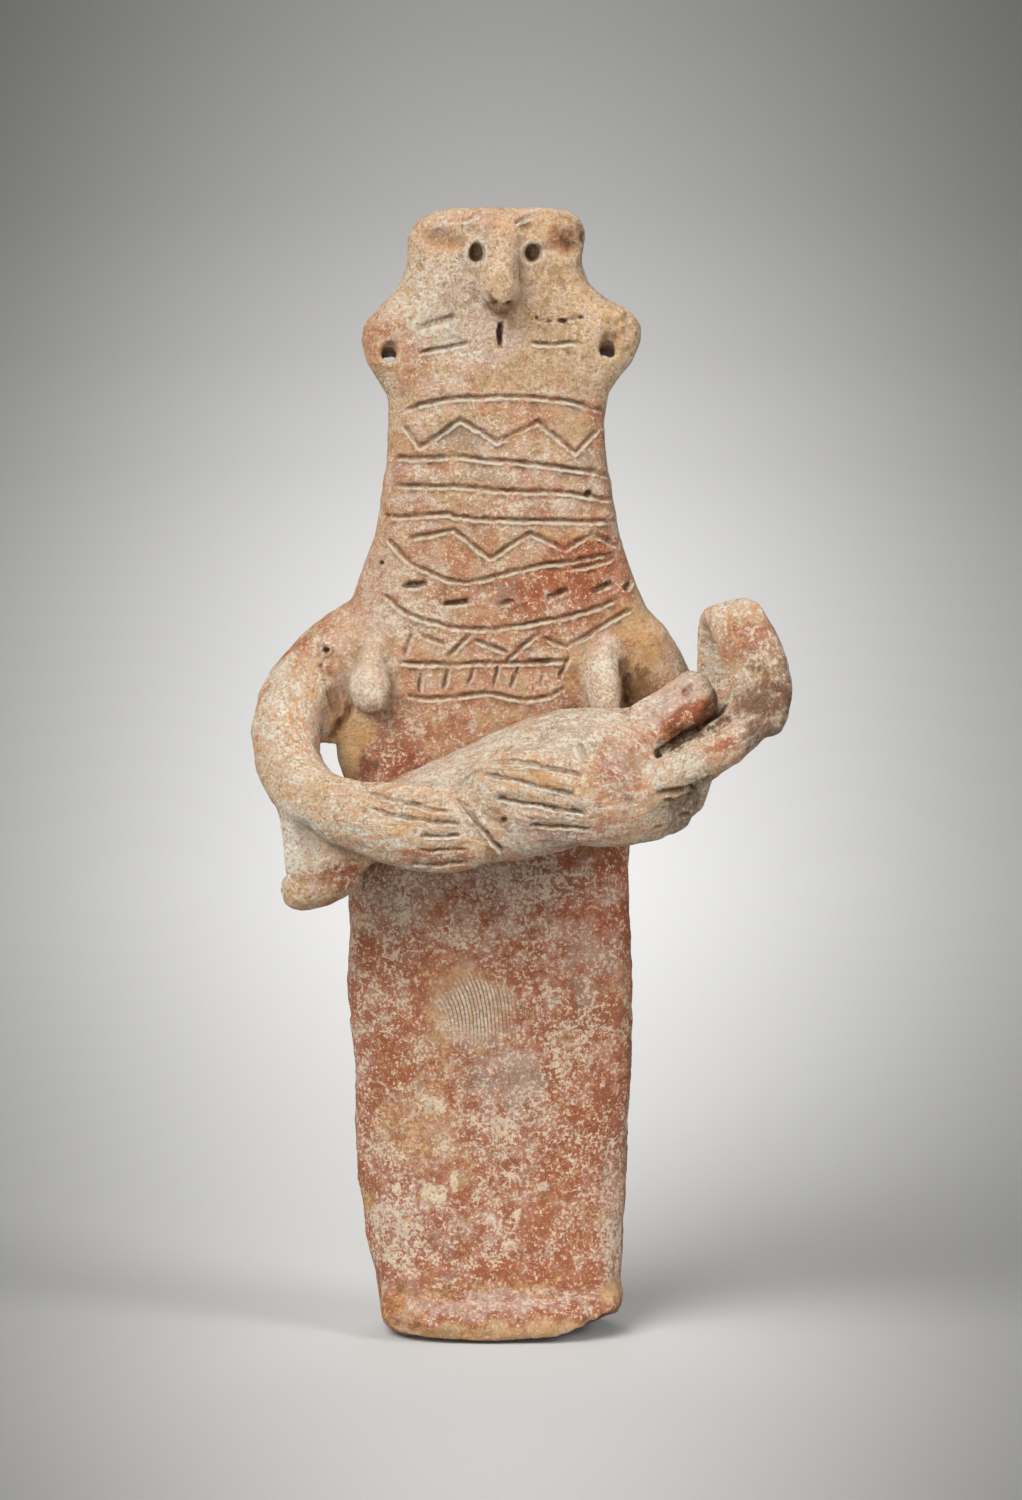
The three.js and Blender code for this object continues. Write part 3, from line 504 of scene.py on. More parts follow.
class Lines:
    """Lines drawn in the front view, for a point of the clay to find the nearest."""

    def __init__(self, paths):
        steps = [np.gradient(path, axis=0) for path in paths]
        self.directions = np.vstack([step / np.linalg.norm(step, axis=1)[:, None] for step in steps])
        self.samples = np.vstack(paths)
        self.tree = KDTree(len(self.samples))
        for k, (x, z) in enumerate(self.samples):
            self.tree.insert((x, 0, z), k)
        self.tree.balance()

    def nearest(self, x, z):
        """The nearest sample, its distance, and how far it is across the line."""
        place, sample, distance = self.tree.find((x, 0, z))
        along_x, along_z = self.directions[sample]
        return sample, distance, (z - place[2]) * along_x - (x - place[0]) * along_z


class Cuts(Lines):
    """The strokes made with one tool."""

    def __init__(self, tool, strokes, join=smooth_path):
        self.tool = tool
        paths, force, burr = [], [], []
        for hard, *corners in strokes:
            path = join(np.array(corners, float).reshape(-1, 2))
            for k, (x, z) in enumerate(path.copy()):
                shake = noise.noise_vector(Vector((x / WOBBLE, 3, z / WOBBLE)))
                path[k] += self.tool.shake * np.array(shake)[[0, 2]]
            run = np.concatenate([[0], np.cumsum(np.linalg.norm(np.diff(path, axis=0), axis=1))])
            taper = np.clip(np.minimum(run, run[-1] - run) / 0.8, 0, 1) ** 0.5
            uneven, broken = noise_along(path, 1.7, 9), noise_along(path, 0.8, 21)
            paths.append(path)
            force.append(hard * taper * (1 + 0.6 * uneven))
            burr.append(np.clip(0.9 + 1.5 * broken + 0.7 * uneven, 0.15, 2.2))
        super().__init__(paths)
        self.force, self.burr = np.concatenate(force), np.concatenate(burr)

    def near(self, clay, reach):
        """For each point: the distance across the nearest stroke, upwards positive, its force and burr."""
        across, force, burr = np.full(len(clay.points), 1e3), clay.zeros(), clay.zeros()
        low, high = self.samples.min(0) - reach, self.samples.max(0) + reach
        x, y, z = clay.points.T
        may = (y > self.tool.low) & (y < self.tool.high)
        may &= clay.normals[:, 1] * self.tool.facing > self.tool.turned
        may &= (x > low[0]) & (x < high[0]) & (z > low[1]) & (z < high[1])
        for k in np.flatnonzero(may):
            sample, distance, side = self.nearest(x[k], z[k])
            if distance < reach:
                across[k] = math.copysign(distance, side * np.sign(self.directions[sample][0] + 1e-9))
                force[k], burr[k] = self.force[sample], self.burr[sample]
        return across, force, burr

    def relief(self, clay, ragged):
        """How far the clay moves outwards: in with a long upper wall, and up along the lower lip."""
        across, force, burr = self.near(clay, STROKE_REACH)
        t = (across + ragged) / self.tool.half
        wall = np.where(t > DEEPEST, (1 - t) / (1 - DEEPEST), (1 + t) / (1 + DEEPEST))
        wall = np.clip(wall * self.tool.steep, 0, 1)
        lower, upper = bell(t + 1.35, 0.36), bell(t - 1.5, 0.6)
        cut = force * self.tool.depth * wall * wall * (3 - 2 * wall)
        cut += force * self.tool.dip * bell(across, 1)
        return np.minimum(force, 1.3) * self.tool.lip * (burr * lower + 0.3 * upper) - cut


def every(table):
    """All the rows of a table whose rows are grouped by place."""
    return [row for rows in table.values() for row in rows]


def cut_families():
    return [
        Cuts(STYLUS, CURVED),
        Cuts(STYLUS, STRAIGHT, straight_path),
        Cuts(BLADE, SLITS),
        Cuts(POINT, HOLES, straight_path),
        Cuts(THUMBNAIL, SOFT),
        Cuts(COMB, FINGERS),
        Cuts(CREASE, CREASES),
        Cuts(FOLD, FOLDS),
        Cuts(SEAM, SEAMS),
        Cuts(SLOT_KNIFE, SLOT),
        Cuts(BACK_STYLUS, BACK_LINES),
    ]


def bell(away, width):
    """1 at no distance, falling off on both sides over a width."""
    return np.exp(-((away / width) ** 2))


def falloff(distance):
    """1 at no distance, falling smoothly to 0 at 1 and beyond."""
    return np.clip(1 - distance**2, 0, None) ** 2


def read(items, name, width, kind=np.float32):
    """One property of all the items of a mesh."""
    values = np.empty(len(items) * width, kind)
    items.foreach_get(name, values)
    return values.reshape(-1, width)


class Clay:
    """The surface as points in millimetres, with the moves of a modeller's hand."""

    def __init__(self, mesh):
        self.mesh = mesh
        self.points = read(mesh.vertices, "co", 3).astype(float)
        self.links = read(mesh.edges, "vertices", 2, np.int32)
        self.degree = np.bincount(self.links.ravel(), minlength=len(self.points)).astype(float)
        self.turn()

    def turn(self):
        """Writes the points and works out the normals again."""
        self.mesh.vertices.foreach_set("co", self.points.astype(np.float32).ravel())
        self.mesh.update()
        self.normals = read(self.mesh.vertex_normals, "vector", 3).astype(float)

    def zeros(self):
        return np.zeros(len(self.points))

    def push(self, amount):
        self.points += self.normals * amount[:, None]
        self.turn()

    def around(self, values):
        """The mean of each point's neighbours."""
        if values.ndim > 1:
            return np.stack([self.around(column) for column in values.T], 1)
        a, b = self.links.T
        count = len(self.degree)
        return (np.bincount(a, values[b], count) + np.bincount(b, values[a], count)) / self.degree

    def relax(self, rounds, share, keep=0):
        """Smooths the surface. With keep, a push back after each round holds its volume."""
        share = np.broadcast_to(share, len(self.points))[:, None]
        for _ in range(rounds):
            self.points += share * (self.around(self.points) - self.points)
            if keep:
                self.points -= keep * share * (self.around(self.points) - self.points)
        self.turn()

    def bend(self):
        """How hollow the surface is at each point."""
        return ((self.around(self.points) - self.points) * self.normals).sum(1)

    def within(self, centre, reach, turn=0):
        """Each point's distance from a centre as a share of the reach, turned in the front view."""
        away = self.points - np.array(centre)
        cos, sin = math.cos(math.radians(turn)), math.sin(math.radians(turn))
        along = away[:, 0] * cos + away[:, 2] * sin
        across = away[:, 2] * cos - away[:, 0] * sin
        return np.sqrt((along / reach[0]) ** 2 + (away[:, 1] / reach[1]) ** 2 + (across / reach[2]) ** 2)

    def covered(self, places, fullness=2.0):
        """How strongly each point is covered by places: a centre, its reach and a strength each."""
        cover = self.zeros()
        for x, y, z, wide, deep, tall, strength in places:
            there = np.clip(fullness * falloff(self.within((x, y, z), (wide, deep, tall))), 0, 1)
            cover = np.maximum(cover, strength * there)
        return cover

    def grain(self, size, seed):
        """Smooth noise from -1 to 1 over the surface, of the given size in millimetres."""
        shift = Vector((seed * 7.3, seed * -3.1, seed * 5.7))
        return np.array([noise.noise(Vector(point) + shift) for point in self.points / size])

    def ragged(self):
        """How far the edge of a stroke strays."""
        return 0.13 * self.grain(0.9, 9) + 0.10 * self.grain(0.45, 10)


def placed(name, data, place=(0, 0, 0), aim=None):
    """A new object in the scene, turned towards a point if one is given."""
    thing = bpy.data.objects.new(name, data)
    bpy.context.scene.collection.objects.link(thing)
    thing.location = place
    if aim is not None:
        thing.rotation_euler = (Vector(aim) - Vector(place)).to_track_quat("-Z", "Y").to_euler()
    return thing


@contextmanager
def reshaped(mesh):
    """A mesh whose faces can be changed."""
    shape = bmesh.new()
    shape.from_mesh(mesh)
    shape.verts.ensure_lookup_table()
    yield shape
    shape.to_mesh(mesh)
    shape.free()


def merged_solid():
    """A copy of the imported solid, merged, in millimetres."""
    mesh = bpy.data.meshes.new("clay")
    with reshaped(mesh) as shape:
        shape.from_mesh(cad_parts["figurine"].data)
        bmesh.ops.remove_doubles(shape, verts=shape.verts, dist=1e-6)
        bmesh.ops.scale(shape, vec=[1 / MM] * 3, verts=shape.verts)
    return mesh


def with_modifier(mesh, kind, **settings):
    """A mesh after one modifier."""
    holder = placed("holder", mesh)
    modifier = holder.modifiers.new(kind.lower(), kind)
    for name, value in settings.items():
        setattr(modifier, name, value)
    result = bpy.data.meshes.new_from_object(holder.evaluated_get(bpy.context.evaluated_depsgraph_get()))
    bpy.data.objects.remove(holder)
    bpy.data.meshes.remove(mesh)
    return result


def finer_near_strokes(mesh, families):
    """Splits the faces near the strokes, so that a cut has a clean bottom and lips."""
    clay = Clay(mesh)
    near = np.zeros(len(clay.points), bool)
    for cuts in families:
        near |= np.abs(cuts.near(clay, STROKE_BAND)[0]) < STROKE_BAND
    for x, z, y, wide, tall, _, _ in every(PITS):
        near |= clay.within((x, y, z), (wide * 2.6, 3, tall * 2.6)) < 1
    with reshaped(mesh) as shape:
        edges = [edge for edge in shape.edges if all(near[vert.index] for vert in edge.verts)]
        bmesh.ops.subdivide_edges(shape, edges=edges, cuts=1, use_grid_fill=True)
    return mesh


def without_bubbles(mesh):
    """The largest connected part of the mesh: merging leaves tiny bubbles inside the clay."""
    first, second = Clay(mesh).links.T
    part = np.arange(len(mesh.vertices))
    settled = False
    while not settled:
        before = part.copy()
        np.minimum.at(part, first, part[second])
        np.minimum.at(part, second, part[first])
        part = part[part]
        settled = (part == before).all()
    bubbles = np.flatnonzero(part != np.bincount(part).argmax())
    with reshaped(mesh) as shape:
        bmesh.ops.delete(shape, geom=[shape.verts[k] for k in bubbles], context="VERTS")
    return mesh


def rounds_for(reach):
    """How many rounds of relaxing smooth over a reach in millimetres."""
    return max(1, round(4 * (reach / VOXEL) ** 2))


def pits_and_rims(clay):
    """The small holes and the raised rims of the pierced ones, as a move outwards."""
    front = np.clip(-clay.normals[:, 1] * 2, 0, 1)
    move = clay.zeros()
    for x, z, y, wide, tall, depth, rim in every(PITS):
        away = clay.within((x, y, z), (wide, PIT_DEEP, tall))
        move += rim * bell(away - 1.3, 0.35) - depth * falloff(away)
    for x, z, wide, tall, turn, height in RIMS.values():
        away = clay.within((x, FACE_Y, z), (wide, PATCH_DEEP, tall), turn)
        below = 0.75 + 0.25 * np.clip((z - clay.points[:, 2] + x - clay.points[:, 0]) / wide, -1, 1)
        move += front * height * below * bell(away - 1.25, 0.28)
    return move


def sculpted_clay():
    families = cut_families()
    clay = Clay(with_modifier(merged_solid(), "REMESH", mode="VOXEL", voxel_size=VOXEL, adaptivity=0))

    # The solid's own wide grooves and facets are smoothed away
    near = clay.zeros()
    for cuts in families:
        near = np.maximum(near, np.clip(2 - np.abs(cuts.near(clay, 2)[0]), 0, 1))
    clay.relax(rounds_for(0.9), 0.5 * near)
    clay.relax(rounds_for(1), 0.5 - 0.4 * clay.covered(CRISP.values()), keep=0.96)

    # The hollows where rolls were smeared together are filled, and their crests stay
    smears = [(x, y, z, radius, radius, radius, share) for x, y, z, radius, share in SMEARS.values()]
    smeared = clay.covered(smears, 1.6)
    for _ in range(rounds_for(1.5)):
        clay.push(0.8 * smeared * np.clip(clay.bend(), 0, None))
    clay.relax(rounds_for(0.5), 0.5 * smeared)
    for x, y, z, wide, deep, tall, amount in every(PRESSES):
        clay.push(amount * falloff(clay.within((x, y, z), (wide, deep, tall))))

    # The foot is worn away underneath at its right front corner
    x, y, z = clay.points.T
    worn = np.interp(x, (5, 9, 13, 17), (0, 0.9, 2.4, 3)) * np.clip(1 - y / 5, 0, 1)
    clay.points[:, 2] = np.maximum(z, worn + 0.15 * z)
    clay.turn()
    mesh = finer_near_strokes(clay.mesh, families)
    clay = Clay(mesh)

    # The unevenness of clay pressed and smoothed by hand
    clay.push(0.24 * clay.grain(9, 1) + 0.16 * clay.grain(3.4, 2) + 0.10 * clay.grain(1.5, 3))
    rough = 0.06 * np.clip(0.5 - clay.normals[:, 1], 0.3, 1)
    rough = np.maximum(rough, clay.covered(ROUGH.values()))
    clay.push(rough * (clay.grain(0.9, 4) + 0.5 * clay.grain(0.5, 5)))
    relief, ragged = pits_and_rims(clay), clay.ragged()
    for cuts in families:
        relief += cuts.relief(clay, ragged)
    clay.push(relief)
    clay.points[:, 2] = np.maximum(clay.points[:, 2], 0)
    clay.turn()
    mesh.calc_loop_triangles()
    count = len(mesh.loop_triangles)
    if count > TRIANGLES:
        mesh = with_modifier(mesh, "DECIMATE", ratio=TRIANGLES / count)
    return without_bubbles(mesh), families


def smoothing_runs(clay):
    """How far along and across the nearest run each point lies, in millimetres."""
    paths = [smooth_path(np.array(corners, float).reshape(-1, 2)) for corners in RUNS.values()]
    runs = Lines(paths)
    travel = np.concatenate([RUN_APART * k + SAMPLE * np.arange(len(path)) for k, path in enumerate(paths)])
    along, across = clay.zeros(), clay.zeros()
    for k, (x, y, z) in enumerate(clay.points):
        sample, _, aside = runs.nearest(x, z)
        along[k], across[k] = travel[sample], aside + 0.7 * y
    return along, across


def stroke_marks(clay, families):
    """The grooves and pale lips of the strokes, and the painted shade in the deep ones and the pits."""
    groove, lip, deep = clay.zeros(), clay.zeros(), clay.zeros()
    ragged = clay.ragged()
    for cuts in families:
        across, force, burr = cuts.near(clay, 1.7)
        t = (across + ragged) / cuts.tool.half
        force = np.clip(force, 0, 1.2)
        groove = np.maximum(groove, force * bell(t - 0.25, 0.6))
        lip = np.maximum(lip, force * (0.5 + 0.5 * burr) * bell(t + 1.1, 0.7) * (cuts.tool.lip > 0))
        deep = np.maximum(deep, cuts.tool.dark * np.minimum(force, 1) * bell(t, 0.8))
    for x, z, wide, tall, turn, height in RIMS.values():
        away = clay.within((x, FACE_Y, z), (wide, PATCH_DEEP, tall), turn)
        lip = np.maximum(lip, 2.2 * height * bell(away - 1.25, 0.2))
    for x, z, y, wide, tall, _, _ in every(PITS):
        deep = np.maximum(deep, 1.1 * bell(clay.within((x, y, z), (wide, PIT_DEEP, tall)), 1))
    return groove, lip, deep


def marks(mesh, families):
    """Writes what the finish follows onto the surface: cuts, lips, hollows and patches."""
    clay = Clay(mesh)
    found = {}
    found["groove"], found["lip"], deep = stroke_marks(clay, families)
    bend = clay.bend()
    for _ in range(2):
        bend = 0.5 * bend + 0.5 * clay.around(bend)
    # How hollow the surface is, for painted shade in the hollows
    found["hollow"] = np.clip(bend / 0.02, 0, 1)
    found["along"], found["across"] = smoothing_runs(clay)

    # The edges of the patches wander
    straight = clay.points
    wander = np.stack([clay.grain(2.6, seed) for seed in (11, 12, 13)], 1)
    clay.points = straight + PATCH_WANDER * wander
    x, y, z = clay.points.T
    on_arm = np.clip((-8.5 - y) / 2, 0, 1) * np.clip((z - 56) / 2, 0, 1) * np.clip((96 - z) / 2, 0, 1)
    on_arm = np.maximum(on_arm, np.clip((np.abs(x) - 21) / 2, 0, 1))
    found["stroked"] = on_arm
    plain = {kind: np.interp(z, *levels) for kind, levels in PLAIN_COATS.items()}
    plain["red"] = plain["red"] * (1 - 0.75 * on_arm)
    for kind, groups in PATCHES.items():
        found[kind] = plain.get(kind, 0) + clay.zeros()
        clay.points = straight + (FLAKE_WANDER if kind == "flake" else PATCH_WANDER) * wander
        for y, *patches in groups:
            for x, z, wide, tall, strength, *turn in patches:
                away = clay.within((x, y, z), (wide, PATCH_DEEP, tall), *turn)
                there = np.clip((1.45 - away) / 0.8, 0, 1)
                found[kind] += there * np.maximum(strength - found[kind], 0)
    found["print"] = np.clip((1.3 - clay.within(*PRINT_PATCH)) / 0.6, 0, 1)

    # Painted shade on the infant's side facing down: red, dark brown, no film; its pale top stops at the edge
    faces_down = clay.normals @ np.array([0.5, -0.3, -0.8])
    side = np.clip(2 * falloff(clay.within((22, -13, 79.6), (7, 6, 4.6), 33)), 0, 1)
    side = side * np.clip((faces_down - 0.05) / 0.25, 0, 1)
    found["red"] = np.maximum(found["red"], 0.85 * side)
    # Painted shade of the infant's side and of the deep cuts and pits joins the dark brown patches
    found["dirt_and_shade"] = np.maximum(np.maximum(found["dirt_and_shade"], 0.6 * side), deep)
    for kind in ("pink", "film"):
        found[kind] = found[kind] * (1 - 0.9 * side)
    found["red"] = found["red"] * (1 - 0.6 * found["bare"])
    fresh = np.clip((found["red"] - 0.6) / 0.3, 0, 1) * np.clip((straight[:, 2] - 76) / 4, 0, 1)
    found["film"] = found["film"] * (1 - 0.5 * fresh)
    for name, values in found.items():
        attribute = mesh.attributes.new(name, "FLOAT", "POINT")
        attribute.data.foreach_set("value", values.astype(np.float32))


# Shader building
class Value:
    """A number socket that takes part in Python expressions."""

    def __init__(self, finish, socket):
        self.finish, self.socket = finish, socket

    def maths(self, operation, *others):
        return self.finish.maths(operation, self, *others)

    def __add__(self, other):
        return self.maths("ADD", other)

    def __sub__(self, other):
        return self.maths("SUBTRACT", other)

    def __rsub__(self, other):
        return self.finish.maths("SUBTRACT", other, self)

    def __mul__(self, other):
        return self.maths("MULTIPLY", other)


class Finish:
    """A material and the one way its nodes are made."""

    def __init__(self, name):
        self.material = bpy.data.materials.new(name)
        self.material.use_nodes = True
        self.tree = self.material.node_tree
        self.shader = self.tree.nodes["Principled BSDF"]
        self.coordinates = self.node("ShaderNodeTexCoord").outputs["Object"]

    def node(self, kind, settings=None, **sockets):
        node = self.tree.nodes.new(kind)
        for name, value in (settings or {}).items():
            setattr(node, name, value)
        for name, value in sockets.items():
            key = int(name[1:]) if name[0] == "i" and name[1:].isdigit() else name.replace("_", " ")
            self.feed(node.inputs[key], value)
        return node

    def value(self, output, kind, settings=None, **sockets):
        return Value(self, self.node(kind, settings, **sockets).outputs[output])

    def feed(self, target, value):
        if isinstance(value, Value):
            value = value.socket
        if isinstance(value, bpy.types.NodeSocket):
            self.tree.links.new(value, target)
        else:
            target.default_value = value

    def maths(self, operation, *values):
        sockets = {f"i{k}": value for k, value in enumerate(values)}
        return self.value(0, "ShaderNodeMath", {"operation": operation}, **sockets)

    def vector(self, output, operation, **sockets):
        return self.value(output, "ShaderNodeVectorMath", {"operation": operation}, **sockets)

    def attribute(self, name):
        return self.value("Fac", "ShaderNodeAttribute", {"attribute_name": name})

    def texture(self, place, scale, detail, roughness):
        """Noise about 0, mostly within 0.25 of it."""
        settings = {"Scale": scale, "Detail": detail, "Roughness": roughness}
        return self.value("Fac", "ShaderNodeTexNoise", i0=place.outputs[0], **settings) - 0.5

    def noise(self, size, detail, roughness, seed, stretch=(1, 1, 1)):
        """Noise whose lumps are about size millimetres."""
        shift = (seed * 0.37, seed * 0.11, seed * -0.23)
        place = self.node("ShaderNodeMapping", i0=self.coordinates, Location=shift, Scale=stretch)
        return self.texture(place, 1 / (MM * size), detail, roughness)

    def streaks(self, long, wide):
        """Noise that is drawn out along the runs, in lumps of a length and a width in millimetres."""
        along, across = self.attribute("along") * (1 / long), self.attribute("across") * (1 / wide)
        return self.texture(self.node("ShaderNodeCombineXYZ", X=along, Y=across), 1, 4, 0.7)

    def distance(self, centre, rise):
        """How far a point is from a centre in the front view, in millimetres, with heights scaled by rise."""
        scale, middle = (1 / MM, 0, rise / MM), (centre[0], 0, centre[1] * rise)
        flat = self.vector("Vector", "MULTIPLY", i0=self.coordinates, i1=scale)
        return self.vector("Value", "DISTANCE", i0=flat, i1=middle)

    def step(self, value, low, high):
        """0 below low, 1 above high, smooth between. Low may be larger than high."""
        settings, ends = {"interpolation_type": "SMOOTHSTEP"}, {"From_Min": low, "From_Max": high}
        return self.value("Result", "ShaderNodeMapRange", settings, Value=value, **ends)

    def mix(self, share, below, above):
        return self.node("ShaderNodeMix", {"data_type": "RGBA"}, i0=share, i6=below, i7=above).outputs[2]

    def coat(self, below, above, value, low, high, strength=1.0):
        """One colour over another where a value has passed from low to high."""
        return self.mix(self.step(value, low, high) * strength, below, above)


def srgb(red, green, blue):
    """A colour given as 0 to 255 on a screen, as the shader wants it."""
    shares = (red / 255, green / 255, blue / 255)
    return (*(c / 12.92 if c <= 0.04045 else ((c + 0.055) / 1.055) ** 2.4 for c in shares), 1.0)


SLIP = srgb(212, 108, 52)
SLIP_DEEP = srgb(168, 80, 40)
SLIP_PALE = srgb(240, 176, 130)
PINK = srgb(232, 194, 182)
LIME = srgb(253, 244, 222)
CREAM = srgb(250, 230, 200)
HAZE = srgb(236, 208, 186)
HAZE_RED = srgb(210, 174, 158)
BUFF = srgb(212, 171, 122)
FLAKE = srgb(250, 226, 194)
ORANGE = srgb(228, 156, 104)
OCHRE = srgb(230, 178, 112)
GREY = srgb(180, 160, 142)
# Dark brown for dirt and for painted shade
DIRT_AND_SHADE = srgb(104, 62, 34)
BROWN = srgb(140, 84, 50)
PAPER = srgb(179, 178, 176)
# Paper colours for a painted pool of light and painted shade far off
PAPER_LIT = srgb(216, 215, 213)
PAPER_SHADE_FAR = srgb(40, 40, 40)
BLACK = srgb(0, 0, 0)


def fired_clay():
    finish = Finish("fired_clay")
    names = ("red", "film", "specks", "ochre", "grey", "pink", "dirt_and_shade", "flake", "groove", "lip", "hollow")
    red, film, specks, ochre, grey, pink, dirt_and_shade, flake, groove, lip, hollow = map(finish.attribute, names)
    touch = finish.attribute("print")
    flatter = (1, 1, 0.75)
    cloud, cloud_2 = finish.noise(9, 4, 0.6, seed=1), finish.noise(7, 4, 0.6, seed=6)
    veil, veil_2 = finish.noise(3, 8, 0.75, 2, flatter) * 3, finish.noise(2.6, 8, 0.75, seed=7) * 3
    dust, dust_2 = finish.noise(0.85, 6, 0.8, 3, flatter) * 3, finish.noise(0.7, 6, 0.8, seed=8) * 3
    pore, grain = finish.noise(0.6, 2, 0.6, seed=4), finish.noise(0.42, 3, 0.7, seed=9) * 2.6
    streak = finish.streaks(4, 0.9) * finish.attribute("stroked") * 3

    # Bare clay, mottled from buff to cream and orange
    color = finish.coat(BUFF, CREAM, cloud + veil * 1.2 + dust * 0.9 + grain + streak, -0.5, 0.2)
    color = finish.coat(color, ORANGE, veil_2 + dust_2 * 0.9 + streak, 0, 0.5, 0.5)

    # Red slip, worn through in flecks
    cover = red + cloud * 1.4 + veil * 1.2 + dust * 1.2 + grain + streak * 0.8
    slip = finish.coat(SLIP_DEEP, SLIP, veil_2 + cloud_2 + dust_2 * 0.7 + grain * 0.8, -0.3, 0.3)
    slip = finish.coat(slip, SLIP_PALE, red, 0.95, 0.1, 0.8)
    color = finish.coat(color, slip, cover, 0.25, 0.42, 0.92)
    color = finish.coat(color, PINK, pink + veil_2 * 1.2 + dust * 0.6, 0.2, 0.95, 0.65)
    color = finish.coat(color, GREY, grey + veil * 1.2 + dust_2 * 0.7, 0.2, 0.95, 0.65)

    # Lime: a thin cloudy film, and fine flecks, warmer on the slip
    hazy = film * 0.7 + cloud_2 * 1.2 + veil_2 * 0.9 + dust * 0.6 - streak * 0.6
    haze = finish.coat(HAZE, HAZE_RED, red, 0.35, 0.8)
    color = finish.coat(color, haze, hazy, 0.05, 0.8, 0.65)
    flecks = film * 0.5 + specks * 0.3 + cloud * 0.9 + veil_2 * 0.6 - streak * 0.6
    lime = finish.coat(LIME, CREAM, red, 0.15, 0.6)
    color = finish.coat(color, lime, flecks + dust_2 * 0.9 + grain * 1.2, 0.41, 0.5, 0.88)

    # Ochre stains, spots flaked down to the clay, and pores
    stain = ochre + veil * 0.9 + dust_2 * 0.9 + grain * 0.4 + streak * 0.8
    color = finish.coat(color, OCHRE, stain, 0.2, 1, 0.7)
    raw = finish.coat(BUFF, FLAKE, dust_2 + grain, -0.7, 0)
    color = finish.coat(color, raw, flake + veil * 0.4 + dust + grain * 0.8, 0.5, 0.58)
    color = finish.coat(color, BROWN, pore + grain * 0.12, 0.08, 0.18, 0.5 - red * 0.35)

    # Cuts, painted shade in the hollows, dirt and painted shade in the dark patches, and the fingerprint
    color = finish.coat(color, lime, lip + dust * 0.8, 0.35, 0.9, 0.8)
    # Brown in the grooves: partly dirt, partly painted shade
    color = finish.coat(color, BROWN, groove + dust * 0.5, 0.3, 1, 0.52)
    # Painted shade: brown in the hollows
    color = finish.mix(hollow * 0.3, color, BROWN)
    # Dark brown patches: dirt, and painted shade under rims, breasts, arms and ledges, in deep cuts and pits
    color = finish.coat(color, DIRT_AND_SHADE, dirt_and_shade + veil * 0.9 + dust * 0.8, 0.3, 1, 0.7)
    turns = finish.distance(PRINT_CENTRE, PRINT_RISE) * (2 * math.pi / PRINT_PITCH)
    ridges = (turns + cloud * 6 + veil).maths("SINE")
    color = finish.coat(color, BROWN, ridges, 0.1, 0.9, touch * 0.75)

    bumps = veil * 0.35 + dust * 0.5 + grain * 0.2 + streak * 0.3 + pore * -0.3 - ridges * touch * 0.05
    bump = finish.node("ShaderNodeBump", Strength=1, Distance=MM, Height=bumps)
    finish.feed(finish.shader.inputs["Base Color"], color)
    finish.feed(finish.shader.inputs["Roughness"], 0.86 - finish.step(cover, 0, 0.6) * 0.12)
    finish.feed(finish.shader.inputs["Normal"], bump.outputs[0])
    finish.shader.inputs["Specular IOR Level"].default_value = 0.3
    return finish


def dressed(name, mesh, finish):
    """A smooth object with one material."""
    mesh.polygons.foreach_set("use_smooth", [True] * len(mesh.polygons))
    mesh.materials.clear()
    mesh.materials.append(finish.material)
    return placed(name, mesh)


def figurine():
    mesh, families = sculpted_clay()
    marks(mesh, families)
    mesh.transform(Matrix.Scale(MM, 4))
    piece = dressed("clay_figurine", mesh, fired_clay())
    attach(piece, "root")
    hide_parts("figurine")


def studio_paper():
    """Pale paper with a painted pool of light in the middle, and painted shade towards the viewer, the sides
    and the far wall.
    """
    finish = Finish("studio_paper")
    distance = finish.vector("Value", "LENGTH", i0=finish.coordinates)
    # Painted pool of light in the middle, and painted shade further out
    color = finish.coat(PAPER, PAPER_LIT, distance, 0, 0.35)
    color = finish.coat(color, PAPER_SHADE_FAR, distance, 0.62, 2.3)
    # Painted shade towards the viewer
    depth = finish.vector("Value", "DOT_PRODUCT", i0=finish.coordinates, i1=(0, 1, 0))
    color = finish.coat(color, BLACK, depth, 0.02, -0.2, 0.56)
    # Painted shade towards the sides
    aside = finish.distance((0, 0), 0) * MM
    aside = aside.maths("DIVIDE", depth.maths("MAXIMUM", -0.3) + 1.05)
    finish.feed(finish.shader.inputs["Base Color"], finish.coat(color, BLACK, aside, 0, 0.085, 0.68))
    finish.shader.inputs["Roughness"].default_value = 0.9
    return finish


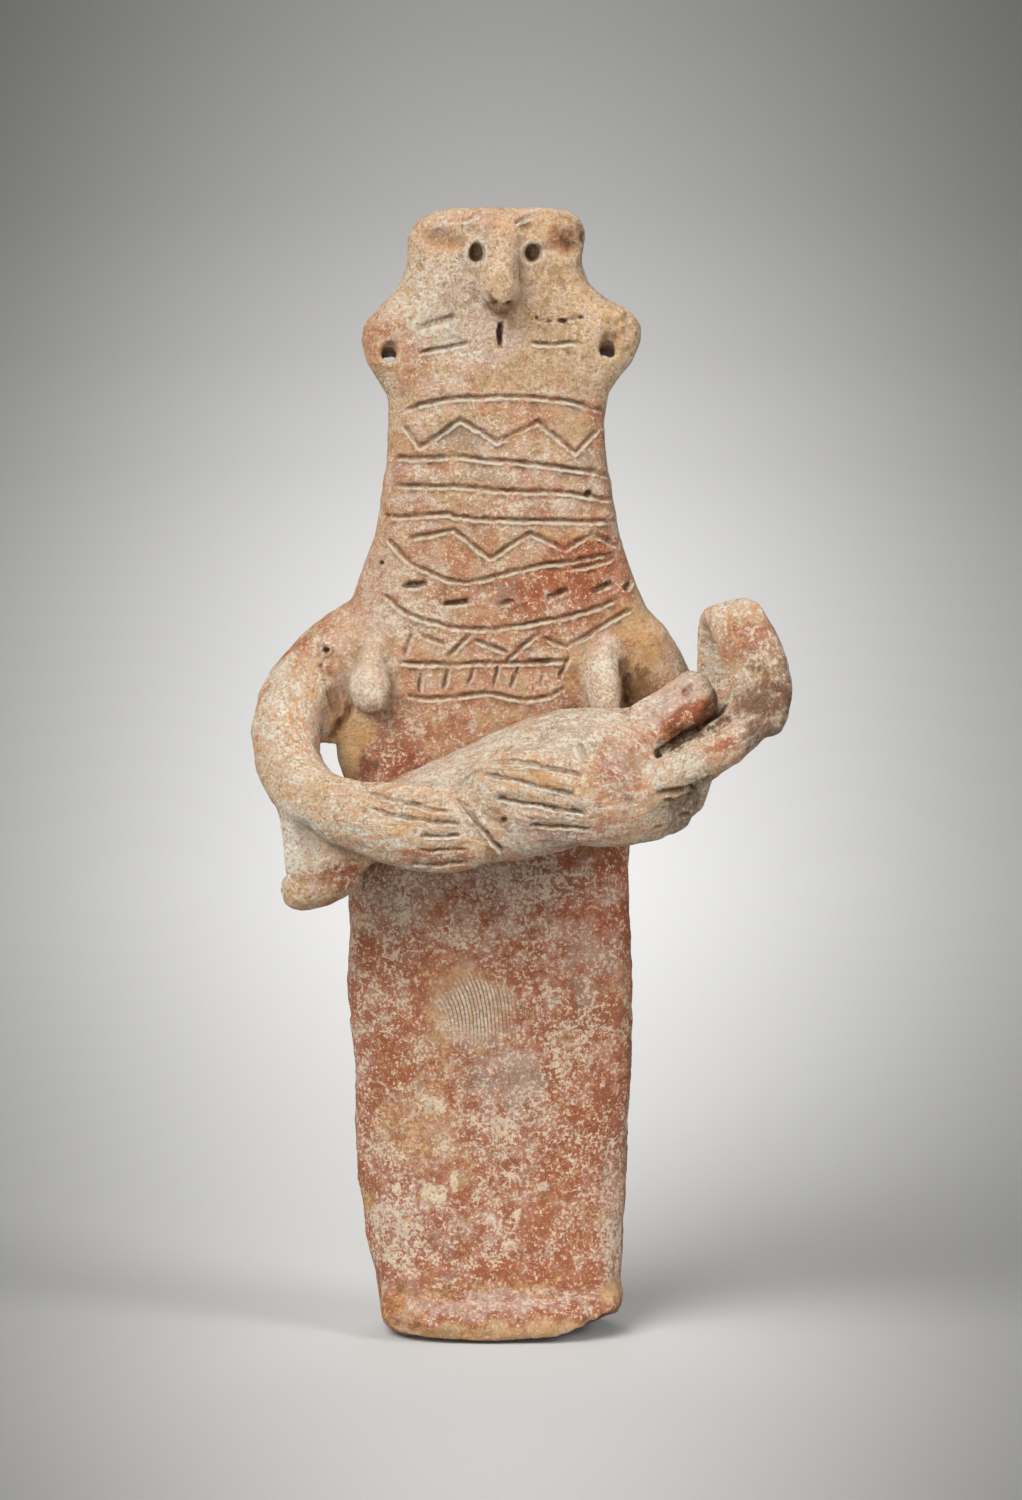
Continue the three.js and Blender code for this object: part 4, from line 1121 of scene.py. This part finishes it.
def studio_floor():
    """A round sweep: a flat floor that curves up gently all round."""
    flat, bend, wall = 0.9, 2.0, 3.0
    profile = [(0, 0), (0.3, 0), (flat, 0)]
    profile += [(flat + bend * math.sin(a), bend - bend * math.cos(a)) for a in np.radians(range(5, 91, 5))]
    profile.append((flat + bend, wall))
    mesh = bpy.data.meshes.new("studio_floor")
    with reshaped(mesh) as shape:
        verts = [shape.verts.new((radius, 0, height)) for radius, height in profile]
        ring = verts + [shape.edges.new(pair) for pair in zip(verts, verts[1:])]
        turn = {"cent": (0, 0, 0), "axis": (0, 0, 1), "angle": 2 * math.pi, "steps": 96}
        bmesh.ops.spin(shape, geom=ring, use_merge=True, **turn)
        bmesh.ops.remove_doubles(shape, verts=shape.verts, dist=1e-5)
        bmesh.ops.recalc_face_normals(shape, faces=shape.faces)
    dressed("studio_floor", mesh, studio_paper())


# Soft lights: place, size, power and the point they are aimed at
LIGHTS = {
    "key_light": ((-0.66, -0.76, 1.08), 1.1, 29.5, (0, 0, 0.07)),
    "fill_light": ((1, -0.5, 0.7), 0.5, 9.5, (0, 0, 0.07)),
    "front_light": ((-0.25, -1.25, 0.34), 1, 6.6, (0, 0, 0.07)),
    "low_light": ((-0.2, -0.8, 0.06), 0.3, 1.6, (0, 0, 0.06)),
    "sweep_light": ((0, 1.4, 2.2), 1.6, 16, (0, 1.2, 0)),
}


def studio():
    studio_floor()
    for name, (place, size, power, aim) in LIGHTS.items():
        data = bpy.data.lights.new(name, "AREA")
        data.shape, data.size, data.energy = "DISK", size, power
        placed(name, data, place, aim).visible_camera = False
    pool = bpy.data.lights.new("pool_light", "SPOT")
    pool.energy, pool.spot_size, pool.spot_blend, pool.shadow_soft_size = 16, math.radians(46), 1.0, 0.1
    placed("pool_light", pool, (0, 0.72, 1.5))
    world = bpy.data.worlds.new("studio_air")
    bpy.context.scene.world = world
    world.use_nodes = True
    world.node_tree.nodes["Background"].inputs["Color"].default_value = (1, 1, 1, 1)
    world.node_tree.nodes["Background"].inputs["Strength"].default_value = 0.4
    bpy.context.scene.view_settings.view_transform = "Standard"


def camera():
    data = bpy.data.cameras.new("camera")
    data.lens, data.sensor_width = CAMERA_LENS, CAMERA_SENSOR
    data.clip_start, data.clip_end = 0.01, 20
    tilt = math.radians(CAMERA_ELEVATION)
    back = Vector((0, -math.cos(tilt), math.sin(tilt)))
    place = Vector(CAMERA_TARGET) + back * CAMERA_DISTANCE
    bpy.context.scene.camera = placed("camera", data, place, CAMERA_TARGET)


camera()
figurine()
studio()
